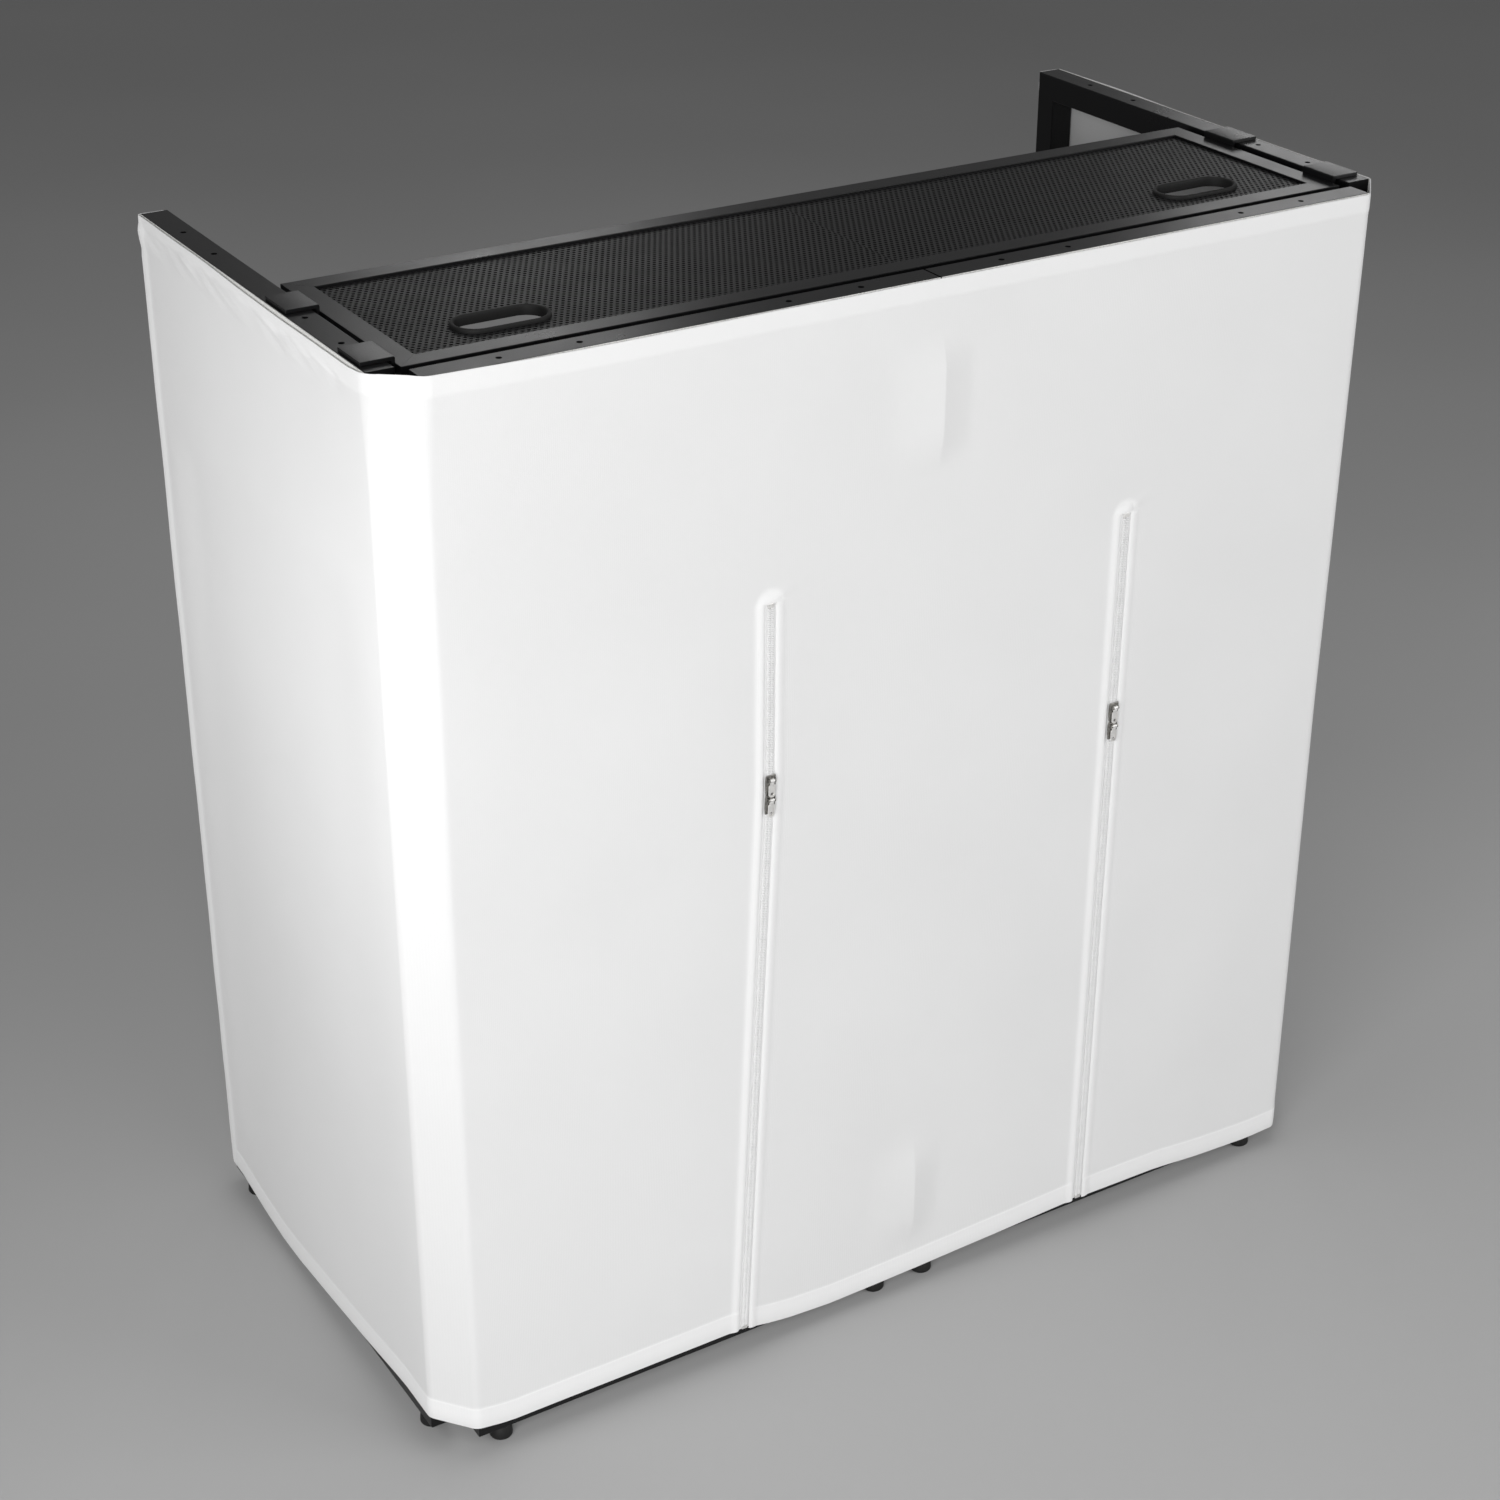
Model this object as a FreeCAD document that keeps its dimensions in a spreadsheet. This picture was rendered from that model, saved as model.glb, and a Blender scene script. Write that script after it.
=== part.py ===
import FreeCAD, Part
import math
import os
import re

import Sketcher

# A folding booth front. Four equal panels of square steel tube, two in front
# and a wing at each side, are hinged to fold flat. A stretch scrim covers
# their outer faces and opens at two zips, and a perforated shelf hooks over
# the wings and locks them square.
# Millimetres. +Z is up, the floor is Z = 0, the audience stands at -Y.

DIMENSIONS = (
    ("tube_size", 30, "square panel tube, outside"),
    ("tube_wall", 1.5, "panel tube wall"),
    ("panel_width", 559, "width of each of the four panels"),
    ("panel_height", 1220, "height of each panel frame"),
    ("centre_gap", 2, "gap between the two front panels"),
    ("corner_gap_side", 8, "front panel end to wing inner face"),
    ("corner_gap_depth", 11, "front panel back face to wing front end"),
    ("cross_rail_drop", 220, "panel top to the top of the wing cross rail"),
    ("rail_hole_diameter", 6.5, "accessory holes in the top rails"),
    ("rail_hole_edge", 83, "panel end to its first rail hole"),
    ("rail_hole_pitch", 83, "spacing of the two holes of a pair"),
    ("foot_height", 20, "rubber foot, floor to panel"),
    ("foot_diameter", 27, "rubber foot at the floor"),
    ("foot_taper", 1.5, "radius lost from the floor to the panel"),
    ("foot_chamfer", 3, "chamfered lower rim of the foot"),
    ("foot_inset", 33, "panel end to foot centre"),
    ("hinge_length", 76, "length of a hinge along its pin"),
    ("hinge_top_drop", 129, "panel top to upper hinge centre"),
    ("hinge_bottom_rise", 116, "panel bottom to lower hinge centre"),
    ("leaf_thickness", 2, "hinge leaf plate"),
    ("leaf_width", 26, "hinge leaf on the tube face"),
    ("barrel_diameter", 7.4, "hinge knuckles, outside"),
    ("hinge_pin_diameter", 4, "hinge pin"),
    ("hinge_pin_head", 1.2, "thickness of the pin head"),
    ("knuckle_gap", 0.4, "running gap between knuckles"),
    ("fixed_clearance", 0.05, "pin to the knuckles that hold it, on radius"),
    ("turning_clearance", 0.1, "pin to the knuckles that turn, on radius"),
    ("corner_pin_side", 4, "corner pin inward of the wing inner face"),
    ("corner_pin_depth", 7.5, "corner pin behind the front panel"),
    ("centre_pin_proud", 4, "centre pin in front of the front panels"),
    ("fastener_thickness", 1, "hook strip between tube and scrim"),
    ("fastener_width", 20, "width of the hook strip"),
    ("scrim_thickness", 1, "stretch fabric of the scrim"),
    ("hem_thickness", 1.6, "turned hem of the scrim"),
    ("scrim_drop", 0, "panel top to scrim top edge"),
    ("scrim_floor_gap", 21, "scrim bottom edge above the floor"),
    ("top_hem", 20, "height of the top hem"),
    ("bottom_hem", 27, "height of the bottom hem"),
    ("side_return", 26, "scrim turned round the rear of a wing"),
    ("centre_strip", 60, "half width of the scrim over the centre hinge"),
    ("bump_spread", 50, "slope of the scrim round a centre hinge"),
    ("bump_clearance", 0.5, "scrim clear of the hinge barrel"),
    ("left_zip_side", 196.5, "left zip top, from the centre"),
    ("left_zip_lean", 28, "left zip bottom further out than its sliders"),
    ("right_zip_side", 252.5, "right zip, from the centre"),
    ("zip_drop", 308, "panel top to the top end of the zip chain"),
    ("zip_bottom", 35, "bottom end of the zip chain above the floor"),
    ("zip_slot", 16, "width of the opening that the zip closes"),
    ("zip_stop", 4, "height of the metal stops on the chain"),
    ("zip_lap", 1, "leaning run of the zip over the upright run"),
    ("welt_width", 7, "fabric welt beside the zip"),
    ("welt_height", 3.4, "welt, from the back of the scrim"),
    ("zip_tape", 1, "thickness of the zip tape"),
    ("zip_tape_back", 2.2, "back of the scrim to the back of the zip tape"),
    ("coil_width", 3, "one side of the zip coil"),
    ("coil_height", 2.2, "zip coil, from the back of its tape"),
    ("coil_gap", 1.2, "split between the two coils"),
    ("slider_length", 22, "zip slider along the chain"),
    ("slider_width", 13, "zip slider across the chain"),
    ("slider_plate", 1.5, "front plate of the slider"),
    ("slider_back", 1.2, "back plate of the slider"),
    ("slider_corner", 4, "cut corners of the slider plates"),
    ("slider_clearance", 0.3, "slider to coil and tape"),
    ("slider_web", 0.5, "web that joins the slider plates"),
    ("slider_spacing", 0.8, "gap between the two meeting sliders"),
    ("left_slider_drop", 189, "zip top to the left pair of sliders"),
    ("right_slider_drop", 222, "zip top to the right pair of sliders"),
    ("pull_axis_drop", 5, "slider upper end to the pull pivot"),
    ("pull_axis_rise", 2.3, "slider front plate to the pull pivot"),
    ("pull_pin_diameter", 2, "pivot pin of the pull"),
    ("pull_eye_diameter", 4, "eye of the pull and slider lugs"),
    ("pull_eye_width", 5.2, "eye of the pull along its pin"),
    ("pull_lug_width", 1.4, "one lug that holds the pivot pin"),
    ("pull_clearance", 0.1, "eye to pin and lugs"),
    ("pull_length", 19.5, "pivot to the lower end of the pull"),
    ("pull_width", 8, "tab of the pull"),
    ("pull_thickness", 1.4, "tab of the pull"),
    ("pull_neck", 5, "pivot to the wide part of the tab"),
    ("pull_hole_diameter", 3.2, "hole near the end of the tab"),
    ("shelf_depth", 275, "shelf, front to back"),
    ("shelf_slot", 8, "shelf side to wing inner face"),
    ("shelf_front_gap", 16, "shelf to the back of the front panels"),
    ("shelf_drop", 3, "panel top to shelf top"),
    ("shelf_tube_width", 25, "border tube of the shelf, across"),
    ("shelf_tube_height", 18, "border tube of the shelf, up"),
    ("shelf_tube_wall", 1.2, "border tube wall"),
    ("deck_drop", 3, "shelf border top to deck top"),
    ("deck_thickness", 1.5, "perforated deck sheet"),
    ("deck_web", 33, "deck left between two openings of its grid"),
    ("brace_width", 20, "tube under the middle of the deck"),
    ("brace_height", 12, "tube under the middle of the deck"),
    ("hand_hole_inset", 139, "shelf end to the hand hole centre"),
    ("hand_hole_depth", 76, "shelf front to the hand hole centre"),
    ("hand_hole_length", 98, "hand hole cut in the deck"),
    ("hand_hole_width", 46, "hand hole cut in the deck"),
    ("grommet_lip", 2.5, "rubber edge over the deck"),
    ("grommet_wall", 2, "rubber edge inside the hand hole"),
    ("grommet_rise", 4, "rubber edge above the deck"),
    ("grommet_drop", 5, "rubber edge below the deck"),
    ("hook_length", 49, "hook along the wing rail"),
    ("hook_thickness", 4, "bent plate of the hook"),
    ("hook_cheek", 12, "hook cheek below the wing rail top"),
    ("hook_short", 3, "hook end short of the rail outer edge"),
    ("hook_bend", 3, "outer bend of the hook"),
    ("front_hook_inset", 11, "shelf front to the front hook"),
    ("rear_hook_inset", 179, "shelf front to the rear hook"),
)

KNUCKLES = 3
FIXED_KNUCKLES = (0, 2)
TURNING_KNUCKLES = (1,)
DECK_COLUMNS = 12
DECK_ROWS = 3

doc = FreeCAD.newDocument("booth")
sheet = doc.addObject("Spreadsheet::Sheet", "dims")
for row, (alias, number, meaning) in enumerate(DIMENSIONS, start=1):
    sheet.set(f"A{row}", meaning)
    sheet.set(f"B{row}", str(number))
    sheet.setAlias(f"B{row}", alias)
doc.recompute()

subparts = {}


def size(alias):
    """Value of one driving dimension."""
    return float(sheet.get(alias))


def vector(x, y, z):
    return FreeCAD.Vector(x, y, z)


def formula(text):
    """Expression on the sheet, from one written with bare dimension names."""
    return re.sub(r"[a-z]\w+", lambda word: "dims." + word.group(), text)


def bind(item, **sizes):
    """Tie properties of an object to formulas of driving dimensions."""
    for name, text in sizes.items():
        item.setExpression(name, formula(text))
    return item


def turned(x_axis, y_axis, z_axis):
    """Rotation that carries X, Y and Z onto the three given directions."""
    return FreeCAD.Rotation(vector(*x_axis), vector(*y_axis), vector(*z_axis), "XYZ")


def placed(base, rotation=FreeCAD.Rotation()):
    return FreeCAD.Placement(vector(*base), rotation)


UPRIGHT = FreeCAD.Rotation()
HALF_TURN = turned((-1, 0, 0), (0, -1, 0), (0, 0, 1))
QUARTER_LEFT = turned((0, 1, 0), (-1, 0, 0), (0, 0, 1))
QUARTER_RIGHT = turned((0, -1, 0), (1, 0, 0), (0, 0, 1))
OVER_LEFT = turned((-1, 0, 0), (0, 1, 0), (0, 0, -1))
Z_TO_X = turned((0, 1, 0), (0, 0, 1), (1, 0, 0))
Z_TO_Y = turned((1, 0, 0), (0, 0, -1), (0, 1, 0))


def box(name, length, width, height, base=(0, 0, 0)):
    item = doc.addObject("Part::Box", name)
    item.Placement = placed(base)
    return bind(item, Length=length, Width=width, Height=height)


def cylinder(name, radius, height, base=(0, 0, 0), rotation=UPRIGHT):
    item = doc.addObject("Part::Cylinder", name)
    item.Placement = placed(base, rotation)
    return bind(item, Radius=radius, Height=height)


def wedge(name, low_x, high_x, low_y, high_y, low_z, high_z):
    """Prism between the rectangle at low_y and the one at high_y.

    low_x, high_x, low_z and high_z each give a limit at low_y and at high_y.
    """
    item = doc.addObject("Part::Wedge", name)
    bind(item, Xmin=low_x[0], X2min=low_x[1], Xmax=high_x[0], X2max=high_x[1])
    bind(item, Ymin=low_y, Ymax=high_y)
    return bind(item, Zmin=low_z[0], Z2min=low_z[1], Zmax=high_z[0], Z2max=high_z[1])


def fuse(name, items):
    item = doc.addObject("Part::MultiFuse", name)
    item.Shapes = items
    item.Refine = True
    return item


def cut(name, base, tool):
    item = doc.addObject("Part::Cut", name)
    item.Base = base
    item.Tool = tool
    item.Refine = True
    return item


def compound(name, items):
    item = doc.addObject("Part::Compound", name)
    item.Links = items
    return item


def subpart(label, item, placement=None):
    """Name an object as a finished piece and set it in its place."""
    item.Label = label
    if placement is not None:
        item.Placement = placement
    subparts[label] = item
    return item


# Reference planes, all worked out from the driving dimensions.
tube = size("tube_size")
front_end = size("centre_gap") / 2 + size("panel_width")
wing_inner = front_end + size("corner_gap_side")
wing_outer = wing_inner + tube
scrim_back = size("fastener_thickness")
scrim_face = scrim_back + size("scrim_thickness")
wing_start = tube + size("corner_gap_depth")
wing_depth = wing_start + size("panel_width")
coil_face = scrim_back + size("zip_tape_back") + size("coil_height")
plate_face = coil_face + size("slider_clearance") + size("slider_plate")
pull_axis = plate_face + size("pull_axis_rise")
pull_reach = pull_axis + size("pull_eye_diameter") / 2
front_face = -(wing_depth + scrim_face - pull_reach) / 2
panel_top = size("foot_height") + size("panel_height")
scrim_top = panel_top - size("scrim_drop")
zip_top = panel_top - size("zip_drop")
corner_pin_x = wing_inner - size("corner_pin_side")
corner_pin_y = front_face + tube + size("corner_pin_depth")
centre_pin_y = front_face - size("centre_pin_proud")
shelf_half = wing_inner - size("shelf_slot")
shelf_front = front_face + tube + size("shelf_front_gap")
shelf_top = panel_top - size("shelf_drop")

# A panel is drawn with its outer face at Y = 0 and its lower corner at the
# origin, then stood in its place.
PANELS = {
    "front_left": placed((-front_end, front_face, size("foot_height"))),
    "front_right": placed((size("centre_gap") / 2, front_face, size("foot_height"))),
    "left_wing": placed((-wing_outer, front_face + wing_depth, size("foot_height")), QUARTER_RIGHT),
    "right_wing": placed((wing_outer, front_face + wing_start, size("foot_height")), QUARTER_LEFT),
}
WINGS = ("left_wing", "right_wing")


def mitred_bar(name, long, wide, deep):
    """Solid bar along X whose ends are cut at 45 degrees towards +Y."""
    return wedge(name, ("0", wide), (long, f"{long} - {wide}"), "0", wide, ("0", "0"), (deep, deep))


def mitred_bore(name, long, wide, deep, wall):
    """Hollow of a mitred bar, open at both mitres."""
    inner = f"{wide} - {wall}"
    low_x = (wall, inner)
    high_x = (f"{long} - {wall}", f"{long} - {wide} + {wall}")
    return wedge(name, low_x, high_x, wall, inner, (wall, wall), (f"{deep} - {wall}", f"{deep} - {wall}"))


def panel_tube(name, long):
    bar = mitred_bar(f"{name}_bar", long, "tube_size", "tube_size")
    bore = mitred_bore(f"{name}_bore", long, "tube_size", "tube_size", "tube_wall")
    return bar, bore


def rail_holes(name):
    """Two pairs of holes through the upper wall of a top rail."""
    edge = size("rail_hole_edge")
    pitch = size("rail_hole_pitch")
    width = size("panel_width")
    holes = []
    for along in (edge, edge + pitch, width - edge - pitch, width - edge):
        base = (along, -size("tube_wall") / 2, tube / 2)
        holes.append(cylinder(f"{name}_hole", "rail_hole_diameter / 2", "2 * tube_wall", base, Z_TO_Y))
    return holes


def make_panel(panel, place):
    """Mitred and welded frame: two rails and a pair of stiles."""
    bar, bore = panel_tube(f"{panel}_top", "panel_width")
    tools = fuse(f"{panel}_top_tools", [bore] + rail_holes(panel))
    top = cut(f"{panel}_top", bar, tools)
    down = placed((0, 0, size("panel_height")), turned((1, 0, 0), (0, 0, -1), (0, 1, 0)))
    subpart(f"{panel}_top_rail", top, place.multiply(down))

    bar, bore = panel_tube(f"{panel}_bottom", "panel_width")
    bottom = cut(f"{panel}_bottom", bar, bore)
    rise = placed((0, tube, 0), turned((1, 0, 0), (0, 0, 1), (0, -1, 0)))
    subpart(f"{panel}_bottom_rail", bottom, place.multiply(rise))

    near = placed((0, 0, 0), turned((0, 0, 1), (1, 0, 0), (0, 1, 0)))
    far = placed((size("panel_width"), tube, 0), turned((0, 0, 1), (-1, 0, 0), (0, -1, 0)))
    stiles = []
    for side, stand in (("near", near), ("far", far)):
        bar, bore = panel_tube(f"{panel}_{side}", "panel_height")
        stile = cut(f"{panel}_{side}_stile", bar, bore)
        stile.Placement = place.multiply(stand)
        stiles.append(stile)
    subpart(f"{panel}_stiles", compound(f"{panel}_stile_pair", stiles))


def make_cross_rail(panel, place):
    """Plain tube across a wing at table height, between its stiles."""
    long = "panel_width - 2 * tube_size"
    hollow = "tube_size - 2 * tube_wall"
    outside = box(f"{panel}_cross_outside", long, "tube_size", "tube_size")
    bore = box(f"{panel}_cross_bore", long, hollow, hollow, (0, size("tube_wall"), size("tube_wall")))
    rail = cut(f"{panel}_cross", outside, bore)
    lift = size("panel_height") - size("cross_rail_drop") - tube
    subpart(f"{panel}_cross_rail", rail, place.multiply(placed((tube, 0, lift))))


def make_feet(panel, place):
    """Tapered rubber feet under both ends of a bottom rail."""
    feet = []
    for along in (size("foot_inset"), size("panel_width") - size("foot_inset")):
        cone = doc.addObject("Part::Cone", f"{panel}_foot_cone")
        bind(cone, Radius1="foot_diameter / 2", Radius2="foot_diameter / 2 - foot_taper")
        bind(cone, Height="foot_height")
        doc.recompute()
        edges = enumerate(cone.Shape.Edges, 1)
        rim = [number for number, edge in edges if edge.BoundBox.ZMax < size("foot_chamfer")]
        foot = doc.addObject("Part::Chamfer", f"{panel}_foot")
        foot.Base = cone
        foot.Edges = [(number, size("foot_chamfer"), size("foot_chamfer")) for number in rim]
        foot.Placement = place.multiply(placed((along, tube / 2, -size("foot_height"))))
        feet.append(foot)
    subpart(f"{panel}_feet", compound(f"{panel}_foot_pair", feet))


def hinge_heights():
    lower = size("foot_height") + size("hinge_bottom_rise")
    return (panel_top - size("hinge_top_drop"), lower)


def hinge_leaf(name, seat, start, knuckles, clearance):
    """One leaf of a butt hinge on the Z axis: plate along +X, tube at +Y.

    seat is the formula of the pin's distance to the tube face, and start that
    of its distance to the near edge of that face.
    """
    long = size("hinge_length")
    step = long / KNUCKLES
    gap = size("knuckle_gap")
    root = size("barrel_diameter") / 2 + gap
    inner_y = size_of(seat) - size("leaf_thickness")
    width = f"{start} + leaf_width - barrel_diameter / 2 - knuckle_gap"
    items = [box(f"{name}_plate", width, "leaf_thickness", "hinge_length", (root, inner_y, -long / 2))]
    knuckle_long = f"hinge_length / {KNUCKLES} - knuckle_gap"
    for number in knuckles:
        low = number * step - long / 2 + gap / 2
        items.append(cylinder(f"{name}_knuckle", "barrel_diameter / 2", knuckle_long, (0, 0, low)))
        web = box(f"{name}_web", "barrel_diameter / 2 + knuckle_gap", "leaf_thickness", knuckle_long)
        web.Placement = placed((0, inner_y, low))
        items.append(web)
    bore_radius = f"hinge_pin_diameter / 2 + {clearance}"
    bore = cylinder(f"{name}_bore", bore_radius, "hinge_length", (0, 0, -long / 2))
    return cut(name, fuse(f"{name}_solid", items), bore)


def size_of(text):
    """Number that a formula of driving dimensions gives."""
    total = 0.0
    for sign, alias, divisor in re.findall(r"([-+]?)\s*([a-z]\w+)(?:\s*/\s*(\d+))?", text):
        value = size(alias) / float(divisor or 1)
        total += -value if sign == "-" else value
    return total


def leaf_pair(label, pin, rotation, seat, start, knuckles, clearance):
    """The upper and the lower leaf on one edge of a panel."""
    leaves = []
    for height in hinge_heights():
        leaf = hinge_leaf(label, seat, start, knuckles, clearance)
        leaf.Placement = placed((pin[0], pin[1], height), rotation)
        leaves.append(leaf)
    subpart(label, compound(f"{label}_pair", leaves))


def hinge_pins(label, pins):
    """Headed pins, an upper and a lower one on each fold line."""
    items = []
    for pin_x, pin_y in pins:
        for height in hinge_heights():
            half = size("hinge_length") / 2
            low = (pin_x, pin_y, height - half)
            high = (pin_x, pin_y, height + half)
            shank = cylinder(f"{label}_shank", "hinge_pin_diameter / 2", "hinge_length", low)
            head = cylinder(f"{label}_head", "barrel_diameter / 2", "hinge_pin_head", high)
            items.append(fuse(f"{label}_pin", [shank, head]))
    subpart(label, compound(f"{label}_set", items))


def make_hinges():
    """Corner hinges at the inner corners, centre hinges on the front faces."""
    left = (-corner_pin_x, corner_pin_y)
    right = (corner_pin_x, corner_pin_y)
    centre = (0, centre_pin_y)
    fixed = (FIXED_KNUCKLES, "fixed_clearance")
    turning = (TURNING_KNUCKLES, "turning_clearance")
    end_seat = "corner_gap_side - corner_pin_side"
    wing_seat = "corner_gap_depth - corner_pin_depth"
    right_end = turned((0, -1, 0), (-1, 0, 0), (0, 0, -1))
    leaf_pair("left_corner_front_leaves", left, QUARTER_RIGHT, end_seat, "corner_pin_depth", *fixed)
    leaf_pair("left_corner_wing_leaves", left, OVER_LEFT, wing_seat, "corner_pin_side", *turning)
    leaf_pair("right_corner_front_leaves", right, right_end, end_seat, "corner_pin_depth", *fixed)
    leaf_pair("right_corner_wing_leaves", right, UPRIGHT, wing_seat, "corner_pin_side", *turning)
    leaf_pair("centre_left_leaves", centre, OVER_LEFT, "centre_pin_proud", "centre_gap / 2", *fixed)
    leaf_pair("centre_right_leaves", centre, UPRIGHT, "centre_pin_proud", "centre_gap / 2", *turning)
    hinge_pins("left_hinge_pins", (left, centre))
    hinge_pins("right_hinge_pins", (right,))


def make_hook_strip(panel, place):
    """Hook strips that hold the scrim: along the top and, on a wing, the rear."""
    low = size("panel_height") - size("scrim_drop") - size("fastener_width")
    thick = size("fastener_thickness")
    top = box(f"{panel}_top_strip", "panel_width", "fastener_thickness", "fastener_width")
    top.Placement = placed((0, -thick, low))
    strips = [top]
    if panel in WINGS:
        tall = "panel_height - 2 * tube_size"
        rear = box(f"{panel}_rear_strip", "fastener_thickness", "fastener_width", tall)
        inset = (tube - size("fastener_width")) / 2
        rear_end = -thick if panel == "left_wing" else size("panel_width")
        rear.Placement = placed((rear_end, inset, tube))
        strips.append(rear)
    subpart(f"{panel}_hook_strip", compound(f"{panel}_strips", strips), place)


def scrim_sheet(name, width, base_x):
    """Flat scrim on the -Y side with its hems, from X = base_x, at Z = 0."""
    tall = "foot_height + panel_height - scrim_drop - scrim_floor_gap"
    back = -size("fastener_thickness")
    height = scrim_top - size("scrim_floor_gap")
    face = back - size("scrim_thickness")
    hem = back - size("hem_thickness")
    sheet_item = box(f"{name}_sheet", width, "scrim_thickness", tall, (base_x, face, 0))
    top = box(f"{name}_top_hem", width, "hem_thickness", "top_hem", (base_x, hem, height - size("top_hem")))
    bottom = box(f"{name}_bottom_hem", width, "hem_thickness", "bottom_hem", (base_x, hem, 0))
    return [sheet_item, top, bottom]


def make_wing_scrim(panel):
    """Side of the scrim, turned round the rear post of its wing."""
    label = f"{panel}_scrim"
    width = "panel_width + fastener_thickness + scrim_thickness"
    extra = scrim_face if panel == "left_wing" else 0
    items = scrim_sheet(label, width, -extra)
    tall = "foot_height + panel_height - scrim_drop - scrim_floor_gap"
    rear = -extra if panel == "left_wing" else size("panel_width") + size("fastener_thickness")
    round_post = "side_return + fastener_thickness + scrim_thickness"
    back = box(f"{label}_return", "scrim_thickness", round_post, tall)
    back.Placement = placed((rear, -scrim_face, 0))
    place = PANELS[panel].multiply(placed((0, 0, size("scrim_floor_gap") - size("foot_height"))))
    subpart(label, fuse(f"{label}_solid", items + [back]), place)


def make_corner_scrim(label, side):
    """Scrim stretched across the open corner between a front panel and a wing."""
    body = doc.addObject("PartDesign::Body", f"{label}_body")
    plane = next(item for item in body.Origin.OriginFeatures if item.Role == "XY_Plane")
    sketch = body.newObject("Sketcher::SketchObject", f"{label}_outline")
    sketch.AttachmentSupport = (plane, [""])
    sketch.MapMode = "FlatFace"
    across = "corner_gap_side + tube_size + fastener_thickness"
    along = "fastener_thickness + scrim_thickness + tube_size + corner_gap_depth"
    corners = (("0", "0"), (f"{across} + scrim_thickness", along), (across, along), ("0", "scrim_thickness"))
    points = [vector(size_of(x), size_of(y), 0) for x, y in corners]
    for number, point in enumerate(points):
        sketch.addGeometry(Part.LineSegment(point, points[(number + 1) % len(points)]))
    for number in range(len(points)):
        following = (number + 1) % len(points)
        sketch.addConstraint(Sketcher.Constraint("Coincident", number, 2, following, 1))
    for number, pair in enumerate(corners):
        for kind, text in zip(("DistanceX", "DistanceY"), pair):
            index = sketch.addConstraint(Sketcher.Constraint(kind, -1, 1, number, 1, size_of(text)))
            if text != "0":
                sketch.setExpression(f"Constraints[{index}]", formula(text))
    pad = body.newObject("PartDesign::Pad", f"{label}_pad")
    pad.Profile = sketch
    bind(pad, Length="foot_height + panel_height - scrim_drop - scrim_floor_gap")
    if side < 0:
        place = placed((-front_end, front_face - scrim_face, scrim_top), OVER_LEFT)
    else:
        place = placed((front_end, front_face - scrim_face, size("scrim_floor_gap")))
    subpart(label, body, place)


def make_centre_scrim():
    """Strip of scrim over the centre fold, tented over the two hinges."""
    label = "centre_scrim"
    items = scrim_sheet(label, "2 * centre_strip", -size("centre_strip"))
    crest = "centre_pin_proud + barrel_diameter / 2 + bump_clearance"
    hollows = []
    for height in hinge_heights():
        middle = height - size("scrim_floor_gap")
        for shell, low_y, high_y, grow, store in (
            ("outside", "fastener_thickness", f"{crest} + scrim_thickness", "2 * scrim_thickness", items),
            ("hollow", "0", crest, "0", hollows),
        ):
            half = f"hinge_length / 2 + bump_spread + {grow}"
            top = f"hinge_length / 2 + hinge_pin_head + {grow}"
            wide = f"bump_spread + {grow}"
            peak = f"barrel_diameter / 2 + {grow}"
            tent = wedge(
                f"{label}_{shell}",
                (f"-({wide})", f"-({peak})"),
                (wide, peak),
                low_y,
                high_y,
                (f"-({half})", f"-({top})"),
                (half, top),
            )
            tent.Placement = placed((0, 0, middle), HALF_TURN)
            store.append(tent)
    solid = fuse(f"{label}_solid", items)
    hollow = fuse(f"{label}_hollows", hollows)
    place = placed((0, front_face, size("scrim_floor_gap")))
    subpart(label, cut(f"{label}_cut", solid, hollow), place)


# A zip hangs upright down to the point where its sliders meet, and leans from there.
ZIPS = {
    "left": {"x": -size("left_zip_side"), "lean": size("left_zip_lean"), "drop": "left_slider_drop"},
    "right": {"x": size("right_zip_side"), "lean": 0.0, "drop": "right_slider_drop"},
}
CHAIN = "(foot_height + panel_height - zip_drop - zip_bottom)"


def zip_runs(zip_side):
    """Upright and leaning run of a zip: frame with its origin at the run's top and
    Z up the chain, length of chain as a formula, and the length as a number."""
    data = ZIPS[zip_side]
    upper = f"({data['drop']} + slider_length + slider_spacing / 2)"
    upper_long = size(data["drop"]) + size("slider_length") + size("slider_spacing") / 2
    lower_long = zip_top - size("zip_bottom") - upper_long
    tilt = math.degrees(math.atan2(data["lean"], lower_long))
    upright = placed((data["x"], front_face, zip_top))
    leaning = placed((data["x"], front_face, zip_top - upper_long), FreeCAD.Rotation(vector(0, 1, 0), tilt))
    return (upright, upper, upper_long), (leaning, f"({CHAIN} - {upper})", lower_long)


def run_boxes(name, runs, across, above, below):
    """One strip of a zip: a box on its upright run and a box on its leaning run.

    across holds the strip's low X, its width, its low Y and its depth;
    above and below name how far it goes past the two ends of the chain.
    """
    x, wide, y, deep = across
    (upright, upper, upper_long), (leaning, lower, lower_long) = runs
    top = box(f"{name}_upper", wide, deep, f"{upper} + {above}")
    top.Placement = upright.multiply(placed((x, y, -upper_long)))
    rest = box(f"{name}_lower", wide, deep, f"{lower} + zip_lap + {below}")
    rest.Placement = leaning.multiply(placed((x, y, -lower_long - size_of(below))))
    return [top, rest]


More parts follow.
